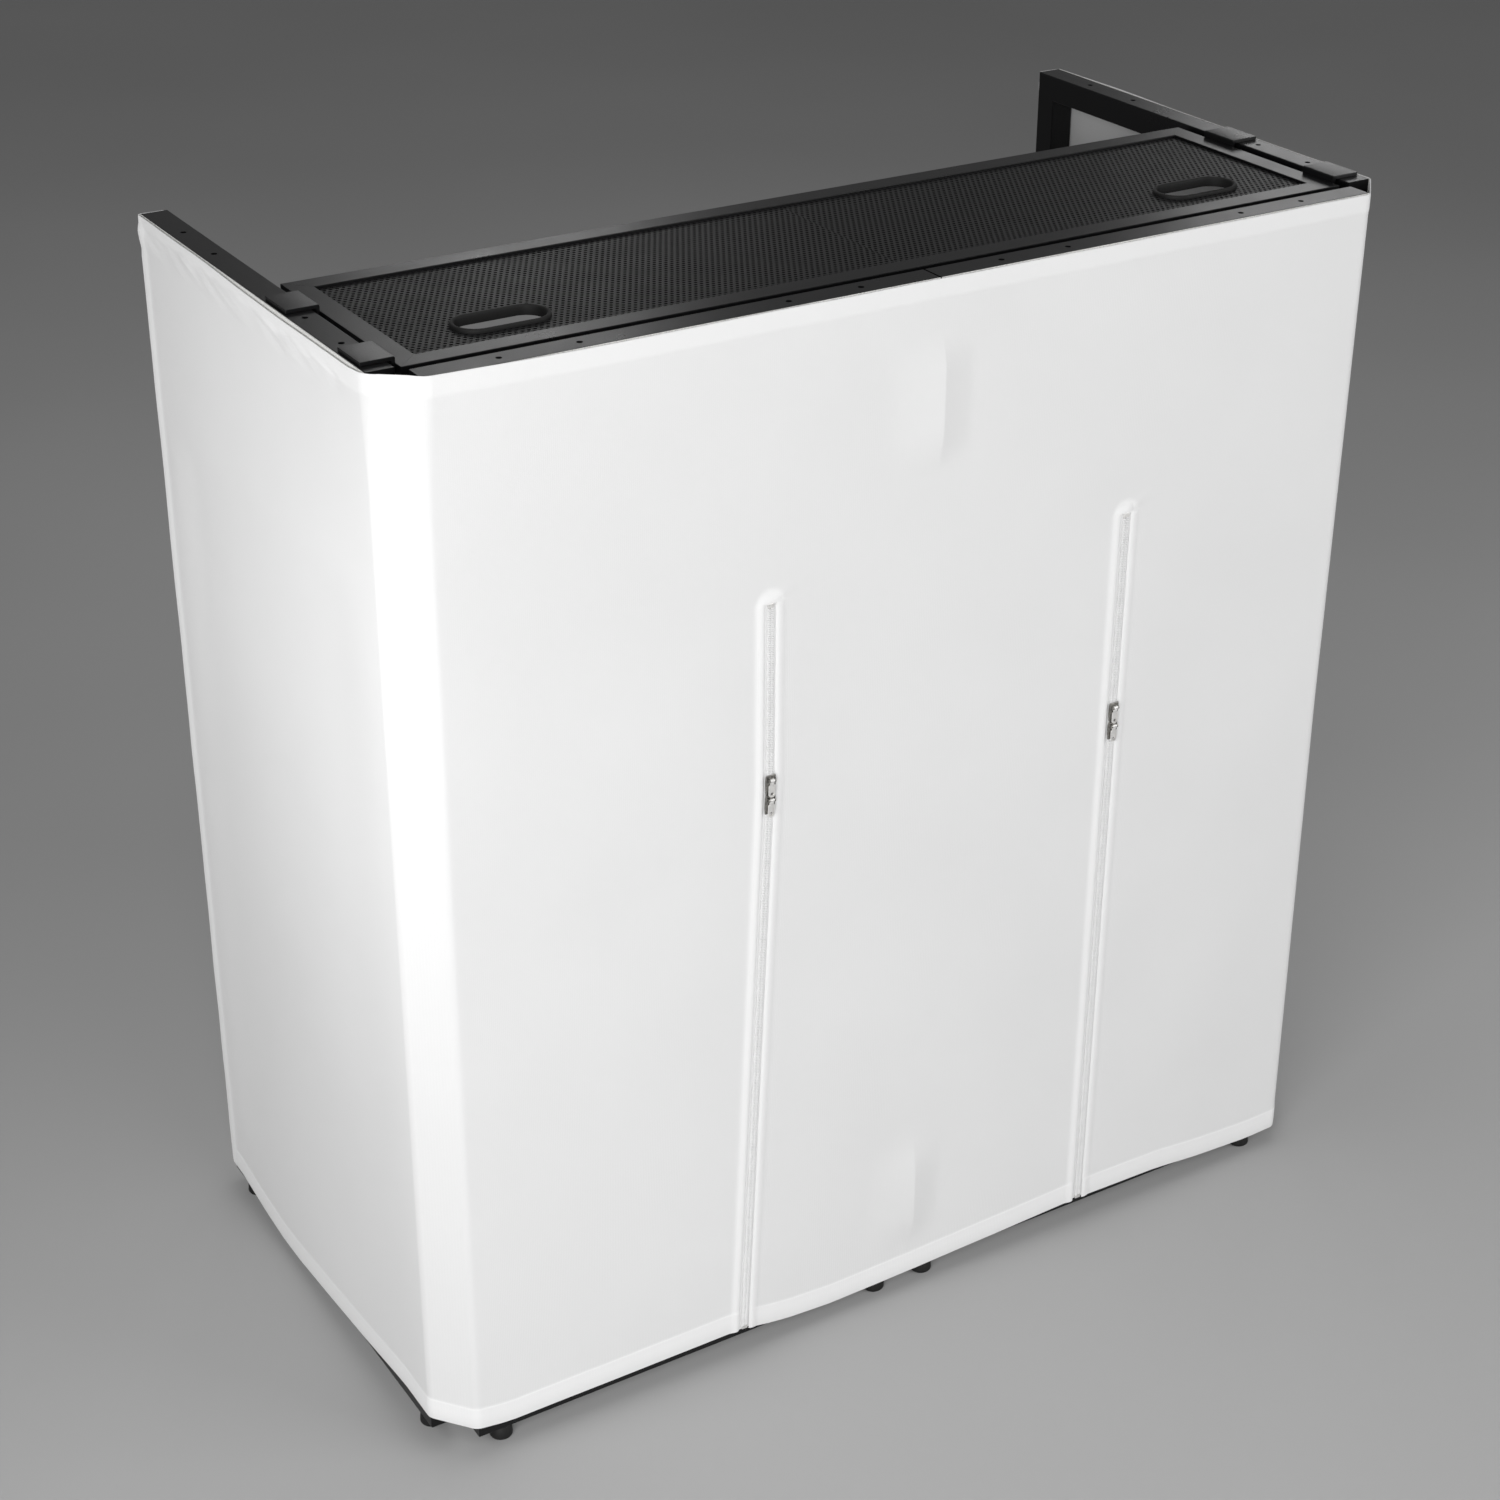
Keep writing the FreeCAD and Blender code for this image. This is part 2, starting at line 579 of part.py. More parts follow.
def make_front_scrim(panel, zip_side):
    """Front sheet of the scrim with the slot and welts of its zip."""
    label = f"{panel}_scrim"
    width = "centre_gap / 2 + panel_width - centre_strip"
    base_x = -front_end if zip_side == "left" else size("centre_strip")
    items = scrim_sheet(label, width, base_x)
    lift = placed((0, front_face, size("scrim_floor_gap")))
    for item in items:
        item.Placement = lift.multiply(item.Placement)
    runs = zip_runs(zip_side)
    half_slot = size("zip_slot") / 2
    welt = size("welt_width")
    face = -size("fastener_thickness") - size("welt_height")
    for edge in (-half_slot - welt, half_slot):
        across = (edge, "welt_width", face, "welt_height")
        items += run_boxes(f"{label}_welt", runs, across, "zip_stop", "zip_bottom")
    head = box(f"{label}_welt_head", "zip_slot + 2 * welt_width", "welt_height", "welt_width")
    head.Placement = runs[0][0].multiply(placed((-half_slot - welt, face, size("zip_stop"))))
    items.append(head)
    slot_y = face - size("welt_height") / 2
    across = (-half_slot, "zip_slot", slot_y, "2 * welt_height")
    tools = run_boxes(f"{label}_slot", runs, across, "zip_stop", "zip_bottom")
    under = box(f"{label}_under", width, "3 * welt_height", "scrim_floor_gap + zip_bottom")
    under.Placement = placed((base_x, front_face - 2 * size("welt_height"), -size("zip_bottom")))
    tools.append(under)
    subpart(label, cut(f"{label}_cut", fuse(f"{label}_solid", items), fuse(f"{label}_tools", tools)))


def make_zip(zip_side):
    """Two tapes with their coils, split down the middle, and the chain's stops."""
    label = f"{zip_side}_zip"
    runs = zip_runs(zip_side)
    tape_y = -(scrim_back + size("zip_tape_back") + size("zip_tape"))
    coil_y = -coil_face
    gap = size("coil_gap") / 2
    tape_wide = "(zip_slot - coil_gap) / 2"
    halves = []
    for name, tape_x, coil_x in (
        ("near", -size("zip_slot") / 2, -gap - size("coil_width")),
        ("far", gap, gap),
    ):
        across = (tape_x, tape_wide, tape_y, "zip_tape")
        tape = run_boxes(f"{label}_{name}_tape", runs, across, "zip_stop", "zip_stop")
        across = (coil_x, "coil_width", coil_y, "coil_height")
        coil = run_boxes(f"{label}_{name}_coil", runs, across, "0", "0")
        halves.append(fuse(f"{label}_{name}", tape + coil))
    subpart(f"{label}_tapes", compound(f"{label}_halves", halves))
    stops = []
    (upright, _, _), (leaning, _, lower_long) = runs
    for place, base_z in ((upright, 0), (leaning, -lower_long - size("zip_stop"))):
        clip = box(f"{label}_stop", "2 * coil_width + coil_gap", "coil_height - zip_tape", "zip_stop")
        clip.Placement = place.multiply(placed((-size("coil_width") - gap, coil_y, base_z)))
        stops.append(clip)
    subpart(f"{label}_stops", compound(f"{label}_stop_pair", stops))


def slider_plate(name, thick, base_y):
    """Slider plate in the XZ plane, its four corners cut, upper edge at Z = 0."""
    plate = box(f"{name}_blank", "slider_width", thick, "slider_length")
    plate.Placement = placed((-size("slider_width") / 2, base_y, -size("slider_length")))
    doc.recompute()
    corners = [
        number
        for number, edge in enumerate(plate.Shape.Edges, 1)
        if edge.BoundBox.YLength > edge.BoundBox.XLength + edge.BoundBox.ZLength
    ]
    shaped = doc.addObject("Part::Chamfer", name)
    shaped.Base = plate
    shaped.Edges = [(number, size("slider_corner"), size("slider_corner")) for number in corners]
    return shaped


def make_slider(label, place):
    """Zip slider: plates before and behind the chain, joined by a web, with lugs."""
    clear = size("slider_clearance")
    back_face = scrim_back + size("zip_tape_back") - clear
    back = slider_plate(f"{label}_back", "slider_back", -back_face)
    front = slider_plate(f"{label}_front", "slider_plate", -plate_face)
    inner = plate_face - size("slider_plate")
    joint_long = "slider_length - 2 * slider_corner"
    low = -size("slider_length") + size("slider_corner")
    web = box(f"{label}_web", "slider_web", "coil_height + 2 * slider_clearance", joint_long)
    web.Placement = placed((-size("slider_web") / 2, -inner, low))
    items = [back, front, web]
    lip_inner = size("coil_gap") / 2 + size("coil_width") + clear
    lip_width = "slider_width / 2 - coil_gap / 2 - coil_width - slider_clearance"
    for base_x in (-size("slider_width") / 2, lip_inner):
        lip = box(f"{label}_lip", lip_width, "coil_height - zip_tape", joint_long)
        lip.Placement = placed((base_x, -inner, low))
        items.append(lip)
    eye = size("pull_eye_diameter") / 2
    lug_in = size("pull_eye_width") / 2 + size("pull_clearance")
    pivot = -size("pull_axis_drop")
    for base_x in (-lug_in - size("pull_lug_width"), lug_in):
        lug_rise = "pull_axis_rise + pull_eye_diameter / 2"
        lug = box(f"{label}_lug", "pull_lug_width", lug_rise, "pull_eye_diameter")
        lug.Placement = placed((base_x, -pull_reach, pivot - eye))
        items.append(lug)
    pin_long = "pull_eye_width + 2 * pull_clearance"
    pin_base = (-lug_in, -pull_axis, pivot)
    items.append(cylinder(f"{label}_pin", "pull_pin_diameter / 2", pin_long, pin_base, Z_TO_X))
    subpart(label, fuse(f"{label}_solid", items), place)


def make_pull(label, place):
    """Pull tab that swings on the slider's pin and hangs down at rest."""
    pivot = -size("pull_axis_drop")
    thick = size("pull_thickness")
    half_eye = size("pull_eye_width") / 2
    face = -pull_axis - thick / 2
    tip = pivot - size("pull_length")
    eye_base = (-half_eye, -pull_axis, pivot)
    eye = cylinder(f"{label}_eye", "pull_eye_diameter / 2", "pull_eye_width", eye_base, Z_TO_X)
    neck = box(f"{label}_neck", "pull_eye_width", "pull_thickness", "pull_neck")
    neck.Placement = placed((-half_eye, face, pivot - size("pull_neck")))
    tab = box(f"{label}_tab", "pull_width", "pull_thickness", "pull_length - pull_neck - pull_width / 2")
    tab.Placement = placed((-size("pull_width") / 2, face, tip + size("pull_width") / 2))
    end_z = tip + size("pull_width") / 2
    end = cylinder(f"{label}_end", "pull_width / 2", "pull_thickness", (0, face, end_z), Z_TO_Y)
    bore_radius = "pull_pin_diameter / 2 + pull_clearance"
    bore = cylinder(f"{label}_bore", bore_radius, "pull_eye_width", eye_base, Z_TO_X)
    hole = cylinder(f"{label}_hole", "pull_hole_diameter / 2", "pull_thickness", (0, face, end_z), Z_TO_Y)
    solid = fuse(f"{label}_solid", [eye, neck, tab, end])
    subpart(label, cut(f"{label}_cut", solid, fuse(f"{label}_tools", [bore, hole])), place)


def make_sliders(zip_side):
    """Two sliders that meet head to head, each with its pull."""
    (upright, _, upper_long), (leaning, _, _) = zip_runs(zip_side)
    half_gap = size("slider_spacing") / 2
    upper = upright.multiply(placed((0, 0, half_gap + size("slider_length") - upper_long)))
    lower = leaning.multiply(placed((0, 0, -half_gap)))
    for name, place in (("upper", upper), ("lower", lower)):
        make_slider(f"{zip_side}_{name}_slider", place)
        make_pull(f"{zip_side}_{name}_pull", place)


def shelf_tube(name, long, rotation, base):
    bar = mitred_bar(f"{name}_bar", long, "shelf_tube_width", "shelf_tube_height")
    bore = mitred_bore(f"{name}_bore", long, "shelf_tube_width", "shelf_tube_height", "shelf_tube_wall")
    tube_item = cut(name, bar, bore)
    tube_item.Placement = placed(base, rotation)
    return tube_item


SHELF_WIDTH = "centre_gap + 2 * panel_width + 2 * corner_gap_side - 2 * shelf_slot"


def make_shelf_border():
    """Border of the shelf: mitred tubes, long ones front and rear."""
    low = shelf_top - size("shelf_tube_height")
    rear = shelf_front + size("shelf_depth")
    front_tube = shelf_tube("shelf_front", SHELF_WIDTH, UPRIGHT, (-shelf_half, shelf_front, low))
    rear_tube = shelf_tube("shelf_rear", SHELF_WIDTH, HALF_TURN, (shelf_half, rear, low))
    subpart("shelf_long_tubes", compound("shelf_long_pair", [front_tube, rear_tube]))
    left_tube = shelf_tube("shelf_left", "shelf_depth", QUARTER_RIGHT, (-shelf_half, rear, low))
    right_tube = shelf_tube("shelf_right", "shelf_depth", QUARTER_LEFT, (shelf_half, shelf_front, low))
    subpart("shelf_end_tubes", compound("shelf_end_pair", [left_tube, right_tube]))


def oblong(name, grow, height, base):
    """Upright oblong with round ends, larger than the hand hole by grow all round."""
    straight = "hand_hole_length - hand_hole_width"
    radius = f"hand_hole_width / 2 + {grow}"
    half = size_of(straight) / 2
    reach = size("hand_hole_width") / 2 + size_of(grow)
    x, y, z = base
    bar = box(f"{name}_bar", straight, f"hand_hole_width + 2 * ({grow})", height, (x - half, y - reach, z))
    ends = [cylinder(f"{name}_end", radius, height, (x + side * half, y, z)) for side in (-1, 1)]
    return fuse(name, [bar] + ends)


def hand_hole_centre(side):
    return (side * (shelf_half - size("hand_hole_inset")), shelf_front + size("hand_hole_depth"))


def deck_grid(low):
    """Plain grid of openings that stands for the fine perforation, clear of the hand holes."""
    field = f"({SHELF_WIDTH} - 2 * shelf_tube_width)"
    long = f"{field} / {DECK_COLUMNS} - deck_web"
    wide = f"(shelf_depth - 2 * shelf_tube_width) / {DECK_ROWS} - deck_web"
    half_field = shelf_half - size("shelf_tube_width")
    pitch_x = 2 * half_field / DECK_COLUMNS
    pitch_y = (size("shelf_depth") - 2 * size("shelf_tube_width")) / DECK_ROWS
    web = size("deck_web")
    rubber_x = size("hand_hole_length") / 2 + size("grommet_lip")
    rubber_y = size("hand_hole_width") / 2 + size("grommet_lip")
    hole_x, hole_y = hand_hole_centre(1)
    openings = []
    for column in range(DECK_COLUMNS):
        x = (column + 0.5) * pitch_x - half_field
        for row in range(DECK_ROWS):
            y = shelf_front + size("shelf_tube_width") + (row + 0.5) * pitch_y
            apart_x = abs(abs(x) - hole_x) - (pitch_x - web) / 2
            apart_y = abs(y - hole_y) - (pitch_y - web) / 2
            if apart_x > rubber_x or apart_y > rubber_y:
                base = (x - (pitch_x - web) / 2, y - (pitch_y - web) / 2, low)
                openings.append(box("deck_opening", long, wide, "deck_thickness", base))
    return openings


def make_deck():
    """Deck sheet between the border tubes, with its two hand holes and its grid."""
    border = size("shelf_tube_width")
    low = shelf_top - size("deck_drop") - size("deck_thickness")
    blank = box(
        "deck_blank",
        f"{SHELF_WIDTH} - 2 * shelf_tube_width",
        "shelf_depth - 2 * shelf_tube_width",
        "deck_thickness",
        (border - shelf_half, shelf_front + border, low),
    )
    holes = deck_grid(low)
    for side in (-1, 1):
        x, y = hand_hole_centre(side)
        holes.append(oblong("deck_hole", "0", "deck_thickness", (x, y, low)))
    subpart("shelf_deck", cut("deck_cut", blank, fuse("deck_holes", holes)))


def make_deck_brace():
    """Tube under the middle of the deck, between the long border tubes."""
    border = size("shelf_tube_width")
    wall = size("shelf_tube_wall")
    top = shelf_top - size("deck_drop") - size("deck_thickness")
    long = "shelf_depth - 2 * shelf_tube_width"
    outside = box("brace_outside", "brace_width", long, "brace_height")
    bore = box(
        "brace_bore",
        "brace_width - 2 * shelf_tube_wall",
        long,
        "brace_height - 2 * shelf_tube_wall",
        (wall, 0, wall),
    )
    place = placed((-size("brace_width") / 2, shelf_front + border, top - size("brace_height")))
    subpart("shelf_brace", cut("brace_cut", outside, bore), place)


def make_grommet(label, side):
    """Rubber edge of a hand hole, grooved to grip the deck."""
    x, y = hand_hole_centre(side)
    deck_top = shelf_top - size("deck_drop")
    low = deck_top - size("deck_thickness") - size("grommet_drop")
    tall = "grommet_rise + deck_thickness + grommet_drop"
    outside = oblong(f"{label}_outside", "grommet_lip", tall, (x, y, low))
    opening = oblong(f"{label}_opening", "-grommet_wall", tall, (x, y, low))
    groove_low = deck_top - size("deck_thickness")
    rim = oblong(f"{label}_rim", "grommet_lip + grommet_wall", "deck_thickness", (x, y, groove_low))
    neck = oblong(f"{label}_neck", "0", "deck_thickness", (x, y, groove_low))
    groove = cut(f"{label}_groove", rim, neck)
    subpart(label, cut(f"{label}_ring", outside, fuse(f"{label}_tools", [opening, groove])))


def hook_body(name):
    """Bent plate: a flange to lie on the wing rail and a cheek on the shelf side."""
    body = doc.addObject("PartDesign::Body", f"{name}_body")
    plane = next(item for item in body.Origin.OriginFeatures if item.Role == "XZ_Plane")
    sketch = body.newObject("Sketcher::SketchObject", f"{name}_profile")
    sketch.AttachmentSupport = (plane, [""])
    sketch.MapMode = "FlatFace"
    reach = "shelf_slot + tube_size - hook_short"
    rise = "hook_cheek + hook_thickness"
    profile = (
        ("0", "0"),
        ("hook_thickness", "0"),
        ("hook_thickness", "hook_cheek"),
        (reach, "hook_cheek"),
        (reach, rise),
        ("0", rise),
    )
    points = [vector(size_of(x), size_of(z), 0) for x, z in profile]
    for number, point in enumerate(points):
        sketch.addGeometry(Part.LineSegment(point, points[(number + 1) % len(points)]))
    for number in range(len(points)):
        following = (number + 1) % len(points)
        sketch.addConstraint(Sketcher.Constraint("Coincident", number, 2, following, 1))
    for number, pair in enumerate(profile):
        for kind, text in zip(("DistanceX", "DistanceY"), pair):
            index = sketch.addConstraint(Sketcher.Constraint(kind, -1, 1, number, 1, size_of(text)))
            if text != "0":
                sketch.setExpression(f"Constraints[{index}]", formula(text))
    pad = body.newObject("PartDesign::Pad", f"{name}_pad")
    pad.Profile = sketch
    bind(pad, Length="hook_length")
    doc.recompute()
    crest = size_of(rise)
    bends = []
    for number, edge in enumerate(pad.Shape.Edges, 1):
        bounds = edge.BoundBox
        if bounds.ZMin > crest - 0.001 and bounds.XMax < 0.001 and bounds.YLength > 1:
            bends.append(f"Edge{number}")
    bend = body.newObject("PartDesign::Fillet", f"{name}_bend")
    bend.Base = (pad, bends)
    bind(bend, Radius="hook_bend")
    return body


def make_hooks(label, side):
    """The front and the rear hook of one side of the shelf."""
    low = panel_top - size("hook_cheek")
    hooks = []
    for inset in ("front_hook_inset", "rear_hook_inset"):
        hook = hook_body(label)
        front = shelf_front + size(inset)
        if side < 0:
            hook.Placement = placed((-shelf_half, front, low), HALF_TURN)
        else:
            hook.Placement = placed((shelf_half, front + size("hook_length"), low))
        hooks.append(hook)
    subpart(label, compound(f"{label}_pair", hooks))


for panel_name, panel_place in PANELS.items():
    make_panel(panel_name, panel_place)
    make_feet(panel_name, panel_place)
    make_hook_strip(panel_name, panel_place)
for wing in WINGS:
    make_cross_rail(wing, PANELS[wing])
    make_wing_scrim(wing)
make_hinges()
make_front_scrim("front_left", "left")
make_front_scrim("front_right", "right")
make_centre_scrim()
make_corner_scrim("left_corner_scrim", -1)
make_corner_scrim("right_corner_scrim", 1)
for zip_name in ZIPS:
    make_zip(zip_name)
    make_sliders(zip_name)
make_shelf_border()
make_deck()
make_deck_brace()
make_grommet("left_grommet", -1)
make_grommet("right_grommet", 1)
make_hooks("left_hooks", -1)
make_hooks("right_hooks", 1)
doc.recompute()

for item in doc.Objects:
    if "Invalid" in item.State or "Error" in item.State:
        raise RuntimeError(f"{item.Label} failed: {item.State}")
for label, item in subparts.items():
    if item.Shape.isNull() or not item.Shape.isValid():
        raise RuntimeError(f"{label} has no valid shape")

os.makedirs("parts", exist_ok=True)
for label, item in subparts.items():
    item.Shape.exportStep(f"parts/{label}.step")
print(f"{len(subparts)} pieces, front face at Y = {front_face:.2f} mm")
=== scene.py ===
# %% [markdown]
# # A folding booth with a stretch scrim
# Four panels of square black tube are hinged together and stand as a front with two wings.
# A white stretch scrim hides the frame, two long zips open it, and a perforated shelf hooks over the wings.
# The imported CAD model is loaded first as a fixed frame. Every piece below goes where that frame says,
# so its boxes are read here and used instead of repeated numbers.

import math

import bmesh
import bpy
from mathutils import Matrix, Vector, noise


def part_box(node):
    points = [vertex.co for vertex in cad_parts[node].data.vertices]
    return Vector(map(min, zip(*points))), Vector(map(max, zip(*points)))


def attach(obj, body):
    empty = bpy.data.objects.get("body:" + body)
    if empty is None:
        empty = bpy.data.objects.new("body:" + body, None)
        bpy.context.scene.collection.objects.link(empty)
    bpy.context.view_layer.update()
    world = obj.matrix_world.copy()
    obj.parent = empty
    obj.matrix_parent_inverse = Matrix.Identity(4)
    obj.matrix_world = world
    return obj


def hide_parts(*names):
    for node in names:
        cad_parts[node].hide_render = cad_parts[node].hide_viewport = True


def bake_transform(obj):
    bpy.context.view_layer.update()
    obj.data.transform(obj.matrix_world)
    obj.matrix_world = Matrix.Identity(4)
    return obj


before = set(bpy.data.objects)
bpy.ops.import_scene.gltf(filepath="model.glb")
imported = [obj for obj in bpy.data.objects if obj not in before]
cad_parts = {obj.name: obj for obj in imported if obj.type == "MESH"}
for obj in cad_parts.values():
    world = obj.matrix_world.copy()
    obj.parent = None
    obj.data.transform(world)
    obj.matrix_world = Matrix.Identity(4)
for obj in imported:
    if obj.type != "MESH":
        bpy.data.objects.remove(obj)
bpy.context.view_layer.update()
MM = 0.001
rail_low, rail_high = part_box("front_right_top_rail")
wing_low, wing_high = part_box("right_wing_top_rail")
FRONT = rail_low.y
TOP = rail_high.z
TUBE = TOP - rail_low.z
FRONT_END = rail_high.x
SIDE = wing_high.x
WING_FRONT = wing_low.y
WING_REAR = wing_high.y
SIDES = {"left": -1, "right": 1}
print(f"the frame has {len(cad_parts)} nodes, and its top is {TOP / MM:.0f} mm up")

# %% [markdown]
# ## Camera
# The photograph looks down from the front left, so both the front and the left wing show.
# The place, turn and focal length were solved from the straight edges of the frame,
# which works for any photo of a box-like object with known right angles.

# %% camera
CAMERA_PLACE = (-1.5336, FRONT - 2.1398, 2.0972)
CAMERA_DEGREES = (62.2433, -0.2222, -31.4772)
camera = bpy.data.objects.new("camera", bpy.data.cameras.new("camera"))
camera.location = CAMERA_PLACE
camera.rotation_euler = [math.radians(turn) for turn in CAMERA_DEGREES]
camera.data.sensor_width = 36
camera.data.lens = 66.655
bpy.context.scene.collection.objects.link(camera)
bpy.context.scene.camera = camera
print(f"the camera is {camera.location.length:.2f} m from the middle of the floor")

# %% [markdown]
# ## Light and floor
# White cloth shows its folds only where light comes more from one side, so one large soft lamp stands
# at the front left, square to the corner. A weaker one fills the front from the right. A small one close to
# the left corner makes the wing fade towards the rear.
# Black tube shows its shape by what it mirrors. Two lamps behind the booth stand where the camera sees them
# mirrored in the top faces, near the left and the right end. The world adds an even grey.

# %% light
BOOTH_MIDDLE = Vector((0, 0, 0.6))


def linear(code):
    """An sRGB hex colour as linear red, green, blue and alpha."""
    parts = [int(code[place:place + 2], 16) / 255 for place in (1, 3, 5)]
    curve = [part / 12.92 if part <= 0.04045 else ((part + 0.055) / 1.055) ** 2.4 for part in parts]
    return curve + [1.0]


def soft_lamp(name, place, width, power):
    """A square area lamp that looks at the middle of the booth and is itself out of sight."""
    lamp = bpy.data.objects.new(name, bpy.data.lights.new(name, "AREA"))
    lamp.data.size = width
    lamp.data.energy = power
    lamp.location = place
    lamp.visible_camera = False
    aim = BOOTH_MIDDLE - Vector(place)
    lamp.rotation_euler = aim.to_track_quat("-Z", "Y").to_euler()
    bpy.context.scene.collection.objects.link(lamp)


soft_lamp("corner_lamp", (-2.45, -2.5, 1.6), 2.4, 97)
soft_lamp("right_lamp", (2.5, -3.06, 1.89), 2.6, 63)
soft_lamp("wing_lamp", (-1.2, -0.26, 0.94), 0.5, 1.8)
soft_lamp("top_lamp", (0.4, 0.6, 4.2), 2.5, 24)
soft_lamp("rear_left_lamp", (1.2, 3.1, 2.45), 0.6, 2.8)
soft_lamp("rear_right_lamp", (2.75, 2.1, 2.1), 0.6, 2.6)
world = bpy.data.worlds.new("studio")
bpy.context.scene.world = world
world.use_nodes = True
sky = world.node_tree.nodes["Background"].inputs
sky["Color"].default_value = linear("#C2C2C2")
sky["Strength"].default_value = 0.3
bpy.context.scene.view_settings.view_transform = "Standard"
print("six lamps and a grey world are set")

# %% floor
FLOOR_REACH = 20
floor_shape = bmesh.new()
bmesh.ops.create_grid(floor_shape, x_segments=8, y_segments=8, size=FLOOR_REACH)
floor_mesh = bpy.data.meshes.new("floor")
floor_shape.to_mesh(floor_mesh)
floor_shape.free()
floor = bpy.data.objects.new("floor", floor_mesh)
bpy.context.scene.collection.objects.link(floor)
print(f"the floor reaches {FLOOR_REACH} m each way")

# %% [markdown]
# ## Materials
# Each finish starts from what the real surface is. Patterns are sized from millimetres: a noise texture of
# scale s has blotches about 1 / s metres wide, so scale = 1 / size.
# The fine grain of a coat or a knit is smaller than a pixel here, so it is drawn a little coarser than life.

# %% material helpers
PLACE = "ShaderNodeTexCoord"
NOISE = "ShaderNodeTexNoise"
CELLS = "ShaderNodeTexVoronoi"
MAPPING = "ShaderNodeMapping"
RAMP = "ShaderNodeValToRGB"
RELIEF = "ShaderNodeBump"


def new_material(name, values):
    """A material with its constant values set straight on the shader."""
    material = bpy.data.materials.new(name)
    material.use_nodes = True
    shader = material.node_tree.nodes["Principled BSDF"].inputs
    for socket, value in values.items():
        shader[socket].default_value = value
    return material, material.node_tree, shader


def add(tree, kind, sockets=None, stops=(), into=None, **settings):
    """Adds a node with its settings and links.

    sockets holds values or links for its inputs, stops a ramp's (place, hex colour or number) pairs,
    into the sockets that its outputs feed, and settings its properties.
    """
    node = tree.nodes.new(kind)
    for name, value in settings.items():
        setattr(node, name, value)
    for name, value in (sockets or {}).items():
        if isinstance(value, bpy.types.NodeSocket):
            tree.links.new(value, node.inputs[name])
        else:
            node.inputs[name].default_value = value
    for number, (place, value) in enumerate(stops):
        element = node.color_ramp.elements[number]
        element.position = place
        element.color = linear(value) if isinstance(value, str) else (value, value, value, 1.0)
    for name, socket in (into or {}).items():
        tree.links.new(node.outputs[name], socket)
    return node


# %% powder coat, rubber and nickel
def grained(name, values, size, depth, colours, roughness, cloud=None):
    """A material with a fine grain, its size and depth in millimetres, that bumps it and mottles its colour.

    The grain varies the roughness too, unless cloud gives the size and detail of wider blotches for that.
    """
    material, tree, shader = new_material(name, values)
    spot = add(tree, PLACE).outputs["Object"]
    grain = add(tree, NOISE, {"Vector": spot, "Scale": 1 / (size * MM), "Detail": 3.0}).outputs["Fac"]
    bumped = {"Height": grain, "Strength": 0.6, "Distance": depth * MM}
    add(tree, RELIEF, bumped, into={"Normal": shader["Normal"]})
    add(tree, RAMP, {"Fac": grain}, colours, {"Color": shader["Base Color"]})
    worn = grain
    if cloud is not None:
        wide, detail = cloud
        worn = add(tree, NOISE, {"Vector": spot, "Scale": 1 / (wide * MM), "Detail": detail}).outputs["Fac"]
    add(tree, RAMP, {"Fac": worn}, roughness, {"Color": shader["Roughness"]})
    print(f"{name}: grain of {size} mm")
    return material


# Polyester powder coat on steel tube, baked: a satin black with a fine orange peel.
powder_coat = grained(
    "satin_black_powder_coat", {"IOR": 1.5, "Specular IOR Level": 0.3}, size=1.6, depth=0.12,
    colours=((0.3, "#0B0B0C"), (0.7, "#131314")), roughness=((0.3, 0.27), (0.7, 0.31)), cloud=(60, 4.0),
)

# The same coat on punched sheet: it gathers at the hole edges, so it is a little duller.
sheet_coat = grained(
    "powder_coated_perforated_steel", {"IOR": 1.5, "Specular IOR Level": 0.32}, size=1.2, depth=0.1,
    colours=((0.3, "#0D0D0E"), (0.7, "#141415")), roughness=((0.3, 0.43), (0.7, 0.48)), cloud=(45, 3.0),
)

# Moulded black rubber: dull, with a fine matt grain.
rubber = grained(
    "moulded_black_rubber", {"IOR": 1.52, "Specular IOR Level": 0.4}, size=1.0, depth=0.1,
    colours=((0.3, "#0D0D0D"), (0.7, "#141413")), roughness=((0.3, 0.55), (0.7, 0.72)),
)

# Nickel plate on die-cast zinc: a dark mirror-like silver on the slider bodies, its colour painted darker
# than nickel plate is, as shade.
nickel = grained(
    "nickel_plated_zinc", {"Metallic": 1.0}, size=2.0, depth=0.05,
    colours=((0.3, "#7C7A76"), (0.7, "#A8A6A1")), roughness=((0.3, 0.18), (0.7, 0.3)),
)

# The same plate on the pulls, rubbed satin by fingers, with its colour painted paler than nickel plate is, as
# a highlight.
highlight_nickel = grained(
    "nickel_plate_painted_highlight", {"Metallic": 1.0}, size=2.0, depth=0.05,
    colours=((0.3, "#F2F1EF"), (0.7, "#FBFAF8")), roughness=((0.3, 0.5), (0.7, 0.6)),
)

# %% zinc plate and drawn steel
# Zinc plate on pressed hinge leaves: cool grey with soft crystal patches.
zinc, tree, shader = new_material("zinc_plated_steel", {"Metallic": 1.0})
spot = add(tree, PLACE).outputs["Object"]
crystal = add(tree, CELLS, {"Vector": spot, "Scale": 1 / (5 * MM)}).outputs["Distance"]
add(tree, RAMP, {"Fac": crystal}, ((0.1, "#AEB2B6"), (0.8, "#C4C7CA")), {"Color": shader["Base Color"]})
add(tree, RAMP, {"Fac": crystal}, ((0.1, 0.32), (0.8, 0.5)), {"Color": shader["Roughness"]})

